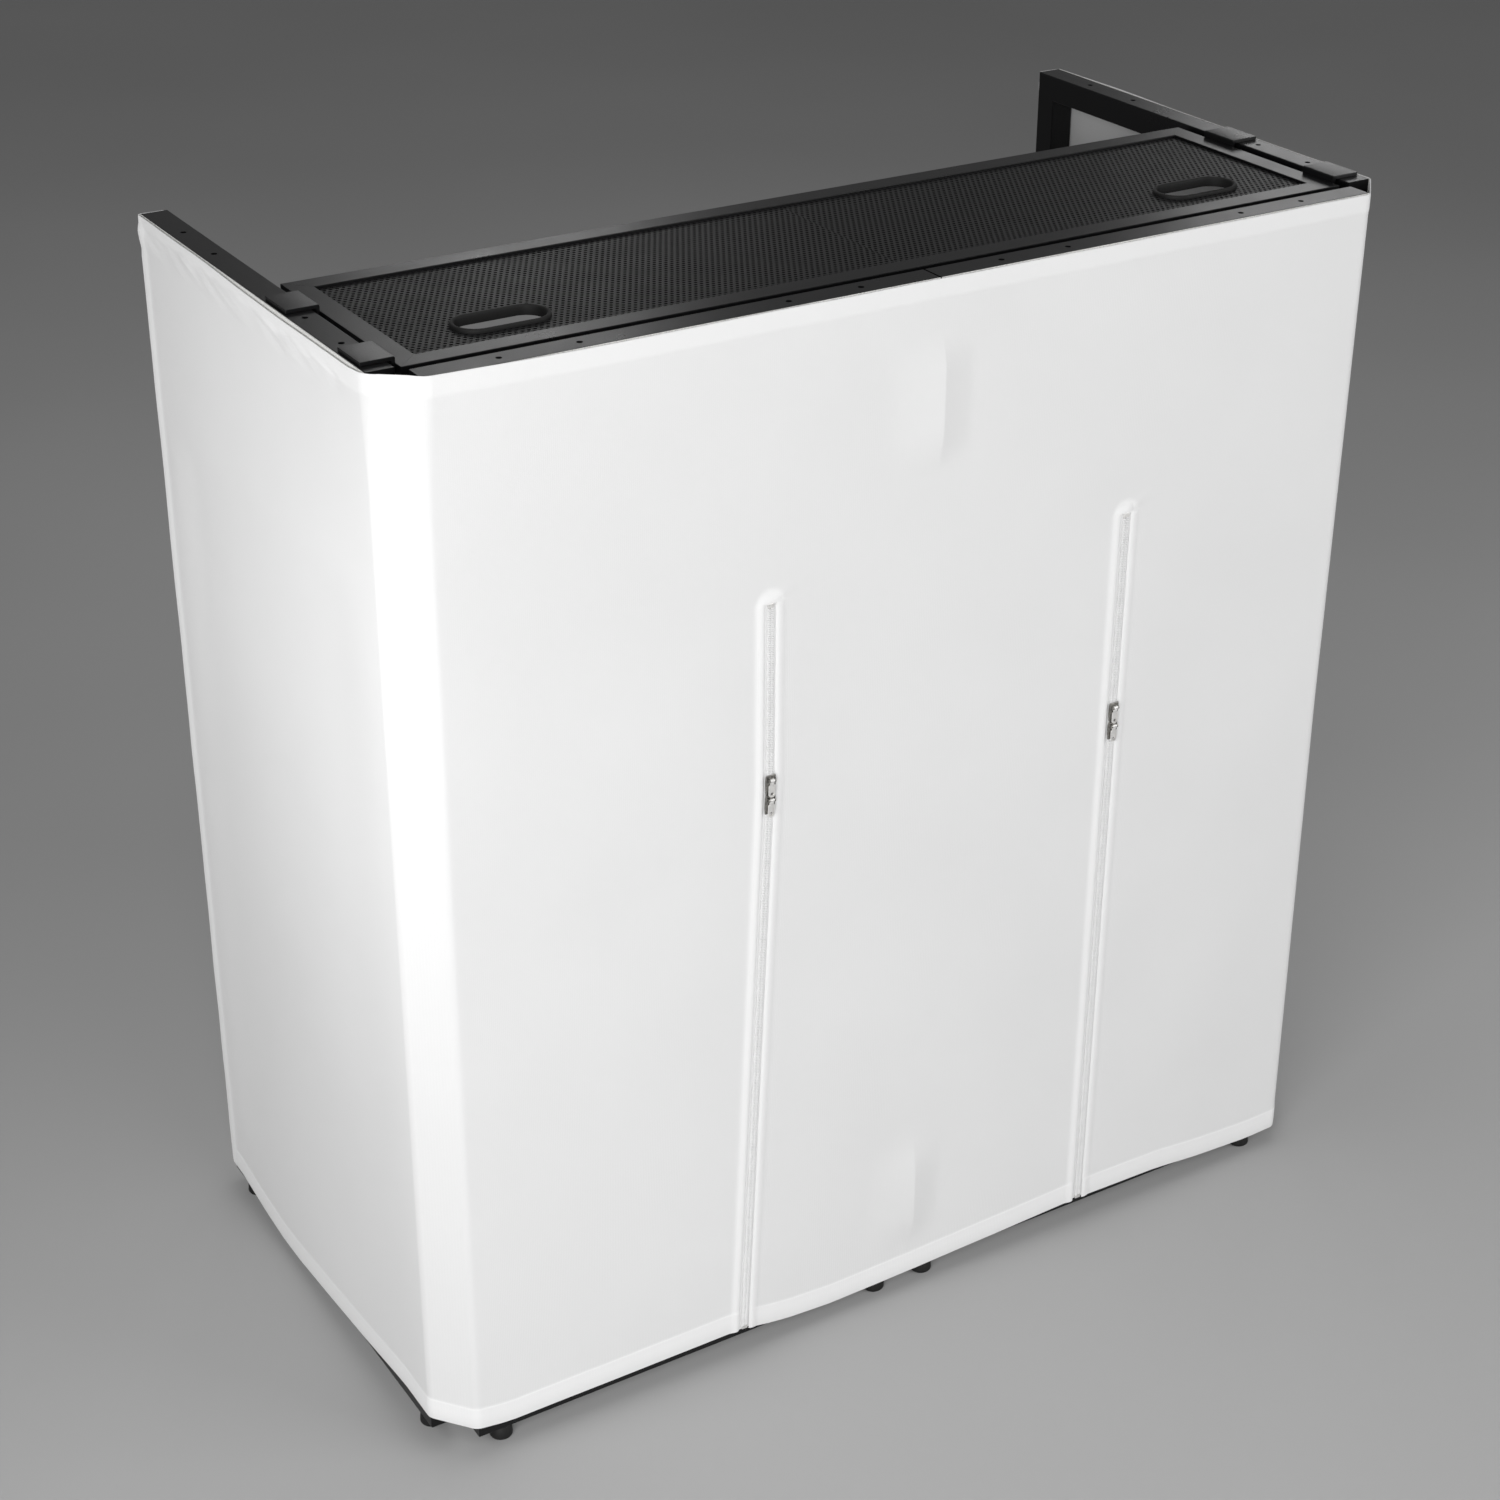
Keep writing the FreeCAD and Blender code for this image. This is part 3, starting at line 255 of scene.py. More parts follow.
# Drawn steel wire for the hinge pins: brighter, with fine draw lines along it.
DRAW_LINE = (0.6 * MM, 0.6 * MM, 30 * MM)
drawn_steel, tree, shader = new_material("drawn_steel", {"Metallic": 1.0})
spot = add(tree, PLACE).outputs["Object"]
lines = add(tree, MAPPING, {"Vector": spot, "Scale": [1 / size for size in DRAW_LINE]}).outputs["Vector"]
drawn = add(tree, NOISE, {"Vector": lines, "Scale": 1.0, "Detail": 2.0}).outputs["Fac"]
add(tree, RAMP, {"Fac": drawn}, ((0.3, "#A2A4A6"), (0.7, "#BCBEC0")), {"Color": shader["Base Color"]})
add(tree, RAMP, {"Fac": drawn}, ((0.3, 0.25), (0.7, 0.42)), {"Color": shader["Roughness"]})
print(f"{zinc.name} and {drawn_steel.name} are mixed")

# %% [markdown]
# ## Cloth
# The scrim is a knitted polyester with stretch yarn. Its wales run up the sheet and its courses across,
# so both are drawn along the cloth's own UV map, which holds metres along the sheet and metres up.
# A thin knit lets a little of the dark frame behind it through, so a hem, where the cloth lies double, is
# whiter. The same whitening is also painted highlight: on the outer flanks of the welts, where it cancels
# their shade, and along the upper edge of the bottom hem. A float attribute on the cloth says where that is,
# and how much.

# %% knit
WAVES = "ShaderNodeTexWave"
WAVE_PITCH = 2 * math.pi / 20  # a wave texture of scale 1 repeats at this distance
WALE = 2.2 * MM
COURSE = 0.75 * WALE
# White stretch knit, washed and pulled tight: matt, with a soft sheen and a fine rib.
knit, tree, shader = new_material(
    "white_stretch_knit",
    {"Roughness": 0.82, "Sheen Weight": 0.12, "Sheen Roughness": 0.5, "Specular IOR Level": 0.25},
)
weave = add(tree, "ShaderNodeUVMap", uv_map="cloth").outputs["UV"]
bands = {}
for direction, pitch in (("X", WALE), ("Y", COURSE)):
    sockets = {"Vector": weave, "Scale": WAVE_PITCH / pitch, "Distortion": 0.0}
    bands[direction] = add(tree, WAVES, sockets, bands_direction=direction).outputs["Fac"]
loops = add(tree, "ShaderNodeMath", {0: bands["X"], 1: bands["Y"]}, operation="MULTIPLY").outputs[0]
rib = {"Height": loops, "Strength": 0.25, "Distance": 0.25 * MM}
add(tree, RELIEF, rib, into={"Normal": shader["Normal"]})
spot = add(tree, PLACE).outputs["Object"]
cloud = add(tree, NOISE, {"Vector": spot, "Scale": 1 / (220 * MM), "Detail": 2.0}).outputs["Fac"]
single = add(tree, RAMP, {"Fac": cloud}, ((0.3, "#E0E0E0"), (0.7, "#E3E3E3"))).outputs["Color"]
# The whiter colour is mixed in where the cloth lies double and where highlight is painted on it.
double_and_highlight = add(tree, "ShaderNodeAttribute", attribute_name="double_and_highlight").outputs["Fac"]
# A Mix node has sockets for numbers, vectors and colours: inputs 6 and 7 and output 2 are the colours.
layers = {"Factor": double_and_highlight, 6: single, 7: linear("#EFEFEF")}
add(tree, "ShaderNodeMix", layers, into={2: shader["Base Color"]}, data_type="RGBA")
print(f"the knit has a rib every {WALE / MM:.1f} mm")

# %% zip tape, coil, hook strip and floor
# Woven zip tape: a flat white twill, a little greyer than the knit.
TWILL = 1.2 * MM
tape_cloth, tree, shader = new_material("white_woven_tape", {"Roughness": 0.75, "Sheen Weight": 0.08})
spot = add(tree, PLACE).outputs["Object"]
slant = add(tree, MAPPING, {"Vector": spot, "Rotation": (0, math.radians(35), 0)}).outputs["Vector"]
sockets = {"Vector": slant, "Scale": WAVE_PITCH / TWILL, "Distortion": 0.0}
twill = add(tree, WAVES, sockets, bands_direction="X").outputs["Fac"]
rib = {"Height": twill, "Strength": 0.4, "Distance": 0.15 * MM}
add(tree, RELIEF, rib, into={"Normal": shader["Normal"]})
add(tree, RAMP, {"Fac": twill}, ((0.2, "#E2E2E2"), (0.8, "#EAEAEA")), {"Color": shader["Base Color"]})

# Nylon monofilament of the coil: smooth, slightly glossy white plastic.
nylon, tree, shader = new_material("white_nylon_coil", {"IOR": 1.53, "Roughness": 0.35})
spot = add(tree, PLACE).outputs["Object"]
cloud = add(tree, NOISE, {"Vector": spot, "Scale": 1 / (12 * MM), "Detail": 2.0}).outputs["Fac"]
add(tree, RAMP, {"Fac": cloud}, ((0.3, "#E6E6E6"), (0.7, "#ECECEC")), {"Color": shader["Base Color"]})

# Hook strip: rows of tiny nylon hooks, which read as a rough white band.
hooks, tree, shader = new_material("white_nylon_hook_strip", {"Roughness": 0.6})
spot = add(tree, PLACE).outputs["Object"]
rows = add(tree, CELLS, {"Vector": spot, "Scale": 1 / (1.6 * MM)}).outputs["Distance"]
nap = {"Height": rows, "Strength": 0.8, "Distance": 0.6 * MM}
add(tree, RELIEF, nap, into={"Normal": shader["Normal"]})
add(tree, RAMP, {"Fac": rows}, ((0.1, "#C8C8C5"), (0.7, "#E6E6E3")), {"Color": shader["Base Color"]})

# The floor is pale sealed concrete, smooth and plain.
pale_floor, tree, shader = new_material("pale_floor", {"Roughness": 0.7, "Specular IOR Level": 0.3})
spot = add(tree, PLACE).outputs["Object"]
haze = add(tree, NOISE, {"Vector": spot, "Scale": 1 / (1500 * MM), "Detail": 2.0}).outputs["Fac"]
add(tree, RAMP, {"Fac": haze}, ((0.3, "#AEAEAE"), (0.7, "#B4B4B4")), {"Color": shader["Base Color"]})
floor.data.materials.append(pale_floor)
print("tape, coil, hook strip and floor are mixed")

# %% [markdown]
# ## Panel tubes
# A real panel is cut from square tube with rounded edges, mitred at 45 degrees and welded.
# A cube could be scaled and left sharp, but light catches the rounded edges of real tube,
# so each bar is a cube whose long edges are bevelled and whose ends are cut by two slanting planes.
# Every facet of the bevel is shaded flat, because smooth shading would make the wide faces look puffed up.
# A hair of a gap at each mitre leaves the line that a ground weld shows.

# %% shaping tools
X_AXIS, Y_AXIS, UP = Vector((1, 0, 0)), Vector((0, 1, 0)), Vector((0, 0, 1))
HAIR = 0.1 * MM


def block(low, high):
    """A box between two corners."""
    bm = bmesh.new()
    low, high = Vector(low), Vector(high)
    bmesh.ops.create_cube(bm, size=1.0)
    bmesh.ops.scale(bm, vec=high - low, verts=bm.verts)
    bmesh.ops.translate(bm, vec=(low + high) / 2, verts=bm.verts)
    return bm


def rod(bm, place, radius, length, sides, top=None):
    """Adds a round bar, or a cone if its top has another radius."""
    bmesh.ops.create_cone(
        bm, cap_ends=True, segments=sides, radius1=radius, radius2=radius if top is None else top,
        depth=length, matrix=place,
    )


def round_off(bm, corners, width, steps=3, affect="EDGES", clamp=True):
    """Rounds edges, or points where affect says VERTICES, by that width."""
    bmesh.ops.bevel(
        bm, geom=corners, offset=width, offset_type="OFFSET", segments=steps, profile=0.5,
        affect=affect, material=-1, clamp_overlap=clamp,
    )


def edges_along(bm, axis):
    """The edges that run along one axis: 0 for X, 1 for Y, 2 for Z."""
    return [edge for edge in bm.edges if abs((edge.verts[1].co - edge.verts[0].co).normalized()[axis]) > 0.99]


def sharp_edges(bm):
    """The edges where two faces meet at a sharp angle."""
    return [edge for edge in bm.edges if edge.calc_face_angle(0) > math.radians(60)]


def only(kind, items):
    """The items of one kind of bmesh element."""
    return [item for item in items if isinstance(item, kind)]


def sliced(bm, place, normal, clear=True):
    """Cuts a shape at a plane, clears what lies beyond it and gives the edges of the cut."""
    whole = bm.verts[:] + bm.edges[:] + bm.faces[:]
    cut = bmesh.ops.bisect_plane(bm, geom=whole, plane_co=place, plane_no=normal, clear_outer=clear)
    return only(bmesh.types.BMEdge, cut["geom_cut"])


def poured(target, source):
    """Adds the source's shapes to the target and frees the source."""
    mesh = bpy.data.meshes.new("poured")
    source.to_mesh(mesh)
    source.free()
    target.from_mesh(mesh)
    bpy.data.meshes.remove(mesh)


# %% making pieces
MERGE = 0.005 * MM


def settle(name, bm, material, sharp=40):
    """Merges doubles, turns the faces outwards and makes an object of the shape."""
    bmesh.ops.remove_doubles(bm, verts=bm.verts, dist=MERGE)
    bmesh.ops.recalc_face_normals(bm, faces=bm.faces)
    mesh = bpy.data.meshes.new(name)
    bm.to_mesh(mesh)
    bm.free()
    mesh.materials.append(material)
    mesh.shade_smooth()
    mesh.set_sharp_from_angle(angle=math.radians(sharp))
    piece = bpy.data.objects.new(name, mesh)
    bpy.context.scene.collection.objects.link(piece)
    return piece


def carried(piece, body, slot, *replaced):
    """The piece rides a body and stands for CAD nodes; slot is not used."""
    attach(piece, body)
    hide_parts(*replaced)
    print(f"{piece.name}: {len(piece.data.polygons)} faces on {body}")


CRISP = 12
STEEL = "black_powder_coated_steel"


def steel_piece(name, bm, body, node):
    """A coated steel piece with flat facets that stands for a CAD node."""
    carried(settle(name, bm, powder_coat, CRISP), body, STEEL, node)


# %% panels
TUBE_ROUND = 1.2 * MM
WELD_LINE = 0.12 * MM
HOLE_STEP = 83 * MM
HOLE_RADIUS = 3.25 * MM
HOLE_DEPTH = 14 * MM
PANELS = {
    "front_left": (X_AXIS, Y_AXIS), "front_right": (X_AXIS, Y_AXIS),
    "left_wing": (Y_AXIS, X_AXIS), "right_wing": (Y_AXIS, X_AXIS),
}


def mitred_tube(origin, along, inward, through, length, wide, deep, rounding=TUBE_ROUND):
    """A tube from its outer corner, mitred at both ends towards the inward side."""
    bm = block((0, 0, 0), (length, wide, deep))
    round_off(bm, edges_along(bm, 0), rounding)
    for start, normal in ((WELD_LINE, (-1, 1, 0)), (length - WELD_LINE, (1, 1, 0))):
        rim = sliced(bm, (start, 0, 0), normal)
        bmesh.ops.edgeloop_fill(bm, edges=rim)
    turn = Matrix((along, inward, through)).transposed().to_4x4()
    bm.transform(Matrix.Translation(origin) @ turn)
    return bm


def bored(piece, cutter_shape):
    """Cuts a shape out of a piece and keeps the result as the piece's mesh."""
    cutter = settle("cutter", cutter_shape, piece.data.materials[0])
    tool = piece.modifiers.new("bore", "BOOLEAN")
    tool.operation = "DIFFERENCE"
    tool.solver = "EXACT"
    tool.object = cutter
    seen = piece.evaluated_get(bpy.context.evaluated_depsgraph_get())
    mesh = bpy.data.meshes.new_from_object(seen)
    piece.modifiers.clear()
    piece.data = mesh
    mesh.set_sharp_from_angle(angle=math.radians(CRISP))
    bpy.data.objects.remove(cutter)


def rail_drill(low, high, across):
    """Four round cutters in a top rail, two from each end."""
    bm = bmesh.new()
    middle = (low + high) / 2
    half = (high - low).dot(across) / 2
    for reach in (-half + HOLE_STEP, -half + 2 * HOLE_STEP, half - 2 * HOLE_STEP, half - HOLE_STEP):
        centre = middle + across * reach
        centre.z = high.z
        rod(bm, Matrix.Translation(centre), HOLE_RADIUS, 2 * HOLE_DEPTH, sides=20)
    return bm


for panel, (across, through) in PANELS.items():
    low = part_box(f"{panel}_bottom_rail")[0]
    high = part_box(f"{panel}_top_rail")[1]
    width = (high - low).dot(across)
    tall = high.z - low.z
    top_start = Vector((low.x, low.y, high.z))
    rail = mitred_tube(top_start, across, -UP, through, width, TUBE, TUBE)
    piece = settle(f"{panel}_top_tube", rail, powder_coat, CRISP)
    bored(piece, rail_drill(*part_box(f"{panel}_top_rail"), across))
    carried(piece, panel, STEEL, f"{panel}_top_rail")
    rail = mitred_tube(low, across, UP, through, width, TUBE, TUBE)
    steel_piece(f"{panel}_bottom_tube", rail, panel, f"{panel}_bottom_rail")
    uprights = mitred_tube(low, UP, across, through, tall, TUBE, TUBE)
    poured(uprights, mitred_tube(low + across * width, UP, -across, through, tall, TUBE, TUBE))
    steel_piece(f"{panel}_uprights", uprights, panel, f"{panel}_stiles")

# %% wing cross tubes
for panel in ("left_wing", "right_wing"):
    bar = block(*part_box(f"{panel}_cross_rail"))
    round_off(bar, edges_along(bar, 1), TUBE_ROUND)
    steel_piece(f"{panel}_cross_tube", bar, panel, f"{panel}_cross_rail")

# %% [markdown]
# ## Feet
# Each panel stands on two turned rubber feet, slightly tapered, with a rounded lower rim that takes scuffs.
# They could be lathed with spin from a profile. A cone with bevelled rims gives the same turned shape
# in two steps.

# %% feet
FOOT_RIM = 3 * MM
FOOT_TAPER = 1.5 * MM
GROOVE_DOWN, GROOVE_HALF, GROOVE_DEPTH = 4 * MM, 0.8 * MM, 0.7 * MM


def turned_foot(centre, radius, tall):
    """A tapered rubber foot, narrower at the top, with a groove under its top rim."""
    bm = bmesh.new()
    rod(bm, Matrix.Translation(centre), radius, tall, sides=32, top=radius - FOOT_TAPER)
    low_rim = [edge for edge in bm.edges if all(vert.co.z < centre.z for vert in edge.verts)]
    round_off(bm, low_rim, FOOT_RIM, 4)
    level = centre + UP * (tall / 2 - GROOVE_DOWN)
    ring = sliced(bm, level, UP, clear=False)
    round_off(bm, ring, GROOVE_HALF, 2)
    groove = [vert for vert in bm.verts if abs(vert.co.z - level.z) < HAIR]
    for vert in groove:
        away = Vector((vert.co.x - centre.x, vert.co.y - centre.y, 0))
        vert.co -= away.normalized() * GROOVE_DEPTH
    return bm


for panel, axes in PANELS.items():
    across = axes[0]
    low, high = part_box(f"{panel}_feet")
    radius = min(high.x - low.x, high.y - low.y) / 2
    middle = (low + high) / 2
    reach = (high - low).dot(across) / 2 - radius
    feet = turned_foot(middle - across * reach, radius, high.z - low.z)
    poured(feet, turned_foot(middle + across * reach, radius, high.z - low.z))
    carried(settle(f"{panel}_rubber_feet", feet, rubber), panel, "black_rubber", f"{panel}_feet")

# %% [markdown]
# ## Shelf
# The shelf is a welded border of flat tube round a perforated steel sheet.
# The holes could be painted on, but light falls through real ones, so the sheet is cut for true:
# one cell with an eight-sided hole is repeated by two Array modifiers, trimmed to the border
# and given its thickness.

# %% shelf border and brace
shelf_low, shelf_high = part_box("shelf_long_tubes")
deck_low, deck_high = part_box("shelf_deck")
shelf_size = shelf_high - shelf_low
BORDER = deck_low.x - shelf_low.x
FLAT_ROUND = 0.6 * MM
BRACE_ROUND = 1.5 * MM


def border_pair(opposite, along, inward, length):
    """Two opposite sides of the border, one from the shelf's low corner and one from the opposite corner."""
    sizes = (UP, length, BORDER, shelf_size.z, FLAT_ROUND)
    pair = mitred_tube(shelf_low, along, inward, *sizes)
    poured(pair, mitred_tube(opposite, along, -inward, *sizes))
    return pair


far_corner = Vector((shelf_low.x, shelf_high.y, shelf_low.z))
right_corner = Vector((shelf_high.x, shelf_low.y, shelf_low.z))
long_tubes = border_pair(far_corner, X_AXIS, Y_AXIS, shelf_size.x)
steel_piece("shelf_long_border", long_tubes, "shelf", "shelf_long_tubes")
end_tubes = border_pair(right_corner, Y_AXIS, X_AXIS, shelf_size.y)
steel_piece("shelf_end_border", end_tubes, "shelf", "shelf_end_tubes")
brace = block(*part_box("shelf_brace"))
round_off(brace, edges_along(brace, 1), BRACE_ROUND)
steel_piece("shelf_under_brace", brace, "shelf", "shelf_brace")

# %% perforated deck
PITCH = 6.72 * MM
PUNCH = 2.1 * MM
ROW = PITCH * math.sin(math.radians(60))
CELL_MERGE = 0.02 * MM
LIP = 2.5 * MM
grommet_boxes = [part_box(f"{side}_grommet") for side in SIDES]


def punched_cell(bm, centre):
    """One hole with the sheet round it: a ring of eight sides pulled out to the cell's edge."""
    ring = bmesh.ops.create_circle(bm, segments=8, radius=PUNCH)["verts"]
    rim = list({edge for vert in ring for edge in vert.link_edges})
    grown = bmesh.ops.extrude_edge_only(bm, edges=rim)["geom"]
    outer = only(bmesh.types.BMVert, grown)
    for vert in outer:
        for axis, half in ((0, PITCH / 2), (1, ROW / 2)):
            if abs(vert.co[axis]) > HAIR:
                vert.co[axis] = math.copysign(half, vert.co[axis])
    bmesh.ops.translate(bm, vec=centre, verts=ring + outer)


def in_hand_hole(point):
    """Whether a point lies inside a hand hole, under the lip of its rubber edge."""
    for low, high in grommet_boxes:
        middle = (low + high) / 2
        radius = (high.y - low.y) / 2
        straight = (high.x - low.x) / 2 - radius
        beyond = max(abs(point.x - middle.x) - straight, 0)
        if math.hypot(beyond, point.y - middle.y) < radius - LIP:
            return True
    return False


def repeated(shape, material, *runs):
    """Repeats a shape with one Array modifier for each run of (count, step)."""
    pattern = settle("pattern", shape, material)
    for count, step in runs:
        array = pattern.modifiers.new("run", "ARRAY")
        array.count = count
        array.use_relative_offset = False
        array.use_constant_offset = True
        array.constant_offset_displace = step
    seen = pattern.evaluated_get(bpy.context.evaluated_depsgraph_get())
    bm = bmesh.new()
    bm.from_mesh(seen.to_mesh())
    bpy.data.objects.remove(pattern)
    return bm


def half_deck(name, low_x, high_x):
    """Half of the perforated sheet, cut at its edges and at the hand hole."""
    cell = bmesh.new()
    punched_cell(cell, Vector((0, 0, 0)))
    punched_cell(cell, Vector((PITCH / 2, ROW, 0)))
    start = Vector((low_x - PITCH / 2, deck_low.y + ROW / 4, deck_high.z))
    bmesh.ops.translate(cell, vec=start, verts=cell.verts)
    columns = math.ceil((high_x - low_x) / PITCH) + 1
    rows = math.ceil((deck_high.y - deck_low.y) / (2 * ROW)) + 1
    bm = repeated(cell, sheet_coat, (columns, (PITCH, 0, 0)), (rows, (0, 2 * ROW, 0)))
    bmesh.ops.remove_doubles(bm, verts=bm.verts, dist=CELL_MERGE)
    sliced(bm, (low_x, 0, 0), -X_AXIS)
    sliced(bm, (high_x, 0, 0), X_AXIS)
    sliced(bm, (0, deck_low.y, 0), -Y_AXIS)
    sliced(bm, (0, deck_high.y, 0), Y_AXIS)
    inside = [face for face in bm.faces if in_hand_hole(face.calc_center_median())]
    bmesh.ops.delete(bm, geom=inside, context="FACES")
    bmesh.ops.recalc_face_normals(bm, faces=bm.faces)
    bmesh.ops.solidify(bm, geom=bm.faces[:], thickness=deck_high.z - deck_low.z)
    top = max(vert.co.z for vert in bm.verts)
    bmesh.ops.translate(bm, vec=(0, 0, deck_high.z - top), verts=bm.verts)
    carried(settle(name, bm, sheet_coat), "shelf", "black_perforated_steel", "shelf_deck")


half_deck("left_half_deck", deck_low.x, 0)
half_deck("right_half_deck", 0, deck_high.x)

# %% [markdown]
# ## Hand holes and hooks
# Each hand hole has a grooved rubber edge. A ring is spun from its section, and its two halves are then slid
# apart along X, which stretches the faces between them into the straight sides of the oblong.
# The hooks are bent plates: a section of six corners is extruded, and the bend and edges are rounded.

# %% rubber edges
RING_STEPS = 28
WALL = 2 * MM
STEP_IN = 1 * MM
RING_ROUND = 1.9 * MM


def rubber_edge(low, high):
    """A grooved rubber ring round an oblong hole, spun from its section."""
    outer = (high.y - low.y) / 2
    straight = (high.x - low.x) / 2 - outer
    neck = outer - LIP
    inner = neck - WALL
    under = outer - STEP_IN
    section = (
        (inner, low.z), (under, low.z), (under, deck_low.z), (neck, deck_low.z),
        (neck, deck_high.z), (outer, deck_high.z), (outer, high.z), (inner, high.z),
    )
    bm = bmesh.new()
    turn = Matrix.Rotation(math.pi / RING_STEPS, 4, "Z")
    verts = [bm.verts.new(turn @ Vector((reach, 0, level))) for reach, level in section]
    bm.faces.new(verts)
    round_off(bm, verts[-2:], RING_ROUND, 4, "VERTICES")
    outline = bm.edges[:]
    bmesh.ops.delete(bm, geom=bm.faces[:], context="FACES_ONLY")
    bmesh.ops.spin(
        bm, geom=outline, cent=(0, 0, 0), axis=UP, angle=2 * math.pi, steps=RING_STEPS, use_merge=True,
    )
    for vert in bm.verts:
        vert.co.x += math.copysign(straight, vert.co.x)
    middle = (low + high) / 2
    bmesh.ops.translate(bm, vec=(middle.x, middle.y, 0), verts=bm.verts)
    return bm


for side in SIDES:
    ring = rubber_edge(*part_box(f"{side}_grommet"))
    carried(settle(f"{side}_rubber_edge", ring, rubber), "shelf", "black_rubber_edge", f"{side}_grommet")

# %% hooks
HOOK_LENGTH = 49 * MM
PLATE = 4 * MM
HOOK_BEND = 2 * MM
PLATE_RIM = 0.4 * MM


def bent_hook(sign, low_y, low, high):
    """A plate that lies on the wing rail, bent down at the shelf side."""
    inner = min(abs(low.x), abs(high.x))
    outer = max(abs(low.x), abs(high.x))
    section = (
        (inner, low.z), (inner + PLATE, low.z), (inner + PLATE, high.z - PLATE),
        (outer, high.z - PLATE), (outer, high.z), (inner, high.z),
    )
    bm = bmesh.new()
    face = bm.faces.new([bm.verts.new((sign * reach, low_y, level)) for reach, level in section])
    grown = bmesh.ops.extrude_face_region(bm, geom=[face])["geom"]
    bmesh.ops.translate(bm, vec=(0, HOOK_LENGTH, 0), verts=only(bmesh.types.BMVert, grown))
    corner = [
        edge for edge in edges_along(bm, 1)
        if abs(abs(edge.verts[0].co.x) - inner) < HAIR and edge.verts[0].co.z > high.z - HAIR
    ]
    round_off(bm, corner, HOOK_BEND, 5)
    round_off(bm, sharp_edges(bm), PLATE_RIM, 2)
    return bm


for side, sign in SIDES.items():
    low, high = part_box(f"{side}_hooks")
    pair = bent_hook(sign, low.y, low, high)
    poured(pair, bent_hook(sign, high.y - HOOK_LENGTH, low, high))
    piece = settle(f"{side}_bent_hooks", pair, powder_coat, CRISP)
    carried(piece, "shelf", "black_hook_plate", f"{side}_hooks")

# %% [markdown]
# ## Scrim
# The scrim is cut in panels that are pressed on to hook strips, so it lies flat in front of the tubes,
# turns the corners in two soft creases and rises over the hinges at the centre.
# A cloth simulation would find almost the same tight surface, so the sheets are grids laid along a plan line.
# Each row of a grid is one height. Hems, welts, bumps and small puckers are pushed outwards from it,
# and solidify gives the knit its thickness at the end.

# %% rows of a sheet
TOP_HEM = 20 * MM
BOTTOM_HEM = 27 * MM
SCRIM_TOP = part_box("right_wing_scrim")[1].z
SCRIM_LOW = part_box("right_wing_scrim")[0].z
ZIP_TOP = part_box("right_zip_tapes")[1].z
HEAD_ROWS = (-20, -10, -4, 0, 0.8, 2, 3.6, 5.4, 7, 9, 12, 15, 18, 22, 26, 30, 36)
TOP_ROWS = (-4, -2, -0.8, 0.6, 2, 3, 5.5, 8, 10.5, 13, 15, 17, 19.2, 20)


def spread(low, high, step):
    """Even values from low to high, about one step apart, without the last."""
    count = max(1, round((high - low) / step))
    return [low + (high - low) * number / count for number in range(count)]


low_hem = SCRIM_LOW + BOTTOM_HEM
high_hem = SCRIM_TOP - TOP_HEM
levels = [SCRIM_LOW, SCRIM_LOW + 1 * MM, SCRIM_LOW + 4 * MM]
levels += spread(SCRIM_LOW + 9 * MM, low_hem - 2 * MM, 8 * MM)
levels += [low_hem + shift * MM for shift in (-2, -0.6, 0.6, 3)]
levels += spread(low_hem + 10 * MM, ZIP_TOP - 20 * MM, 16 * MM)
levels += [ZIP_TOP + shift * MM for shift in HEAD_ROWS]
levels += spread(ZIP_TOP + 42 * MM, high_hem - 60 * MM, 8 * MM)
levels += spread(high_hem - 60 * MM, high_hem - 4 * MM, 3 * MM)
levels += [high_hem + shift * MM for shift in TOP_ROWS]
print(f"each sheet has {len(levels)} rows between {SCRIM_LOW / MM:.0f} and {SCRIM_TOP / MM:.0f} mm")

# %% hems
WING_EDGE = WING_FRONT + 30 * MM
HEM = 0.5 * MM
RAGGED, RAGGED_WAVES = 7 * MM, 30
TOP_WHITE = 0.45
# Hems are whiter where they lie double. The bottom hem also gets a painted highlight that grows towards its
# upper edge.
LOW_WHITE, LOW_HEM_HIGHLIGHT = 0.3, 0.55


def ease(share):
    """Smooth step from 0 to 1."""
    share = min(max(share, 0.0), 1.0)
    return share * share * (3 - 2 * share)


def rise(reach, start, end):
    """Smooth step from 0, where reach is start, to 1, where it is end. Both are in millimetres."""
    return ease((reach - start * MM) / ((end - start) * MM))


def top_hem(point):
    """Depth of the top hem: even on the front, but narrower and uneven on a wing, least at the rear."""
    if abs(point.x) < SIDE:
        return TOP_HEM
    rear = rise(point.y - WING_EDGE, 0, 350)
    uneven = rise(point.y - WING_FRONT, 0, 60) * noise.noise((point.y * RAGGED_WAVES, 3.1, 0))
    return TOP_HEM * (1 - 0.5 * rear) + RAGGED * uneven


def hem_share(point, level):
    """1 on the top and bottom hems, 0 on the single sheet between them."""
    low = 1 - rise(level - low_hem, -0.6, 0.6)
    high = rise(level - SCRIM_TOP + top_hem(point), -2, 3)
    return max(low, high)


def hem_white_and_highlight(point, level):
    """How much whiter a hem is painted at that height: it lies double, and the bottom one carries a painted
    highlight that is strongest at its upper edge.
    """
    white = TOP_WHITE
    if level < (SCRIM_LOW + SCRIM_TOP) / 2:
        white = LOW_WHITE + LOW_HEM_HIGHLIGHT * rise(level - SCRIM_LOW, 0, 16)
    return white * hem_share(point, level)


def hem_lift(point, level):
    """How far a hem stands out at that height, rolled in at its free edge."""
    rolled = rise(level - SCRIM_LOW, 0, 4) * rise(SCRIM_TOP - level, 0, 3)
    return HEM * hem_share(point, level) * (0.3 + 0.7 * rolled)


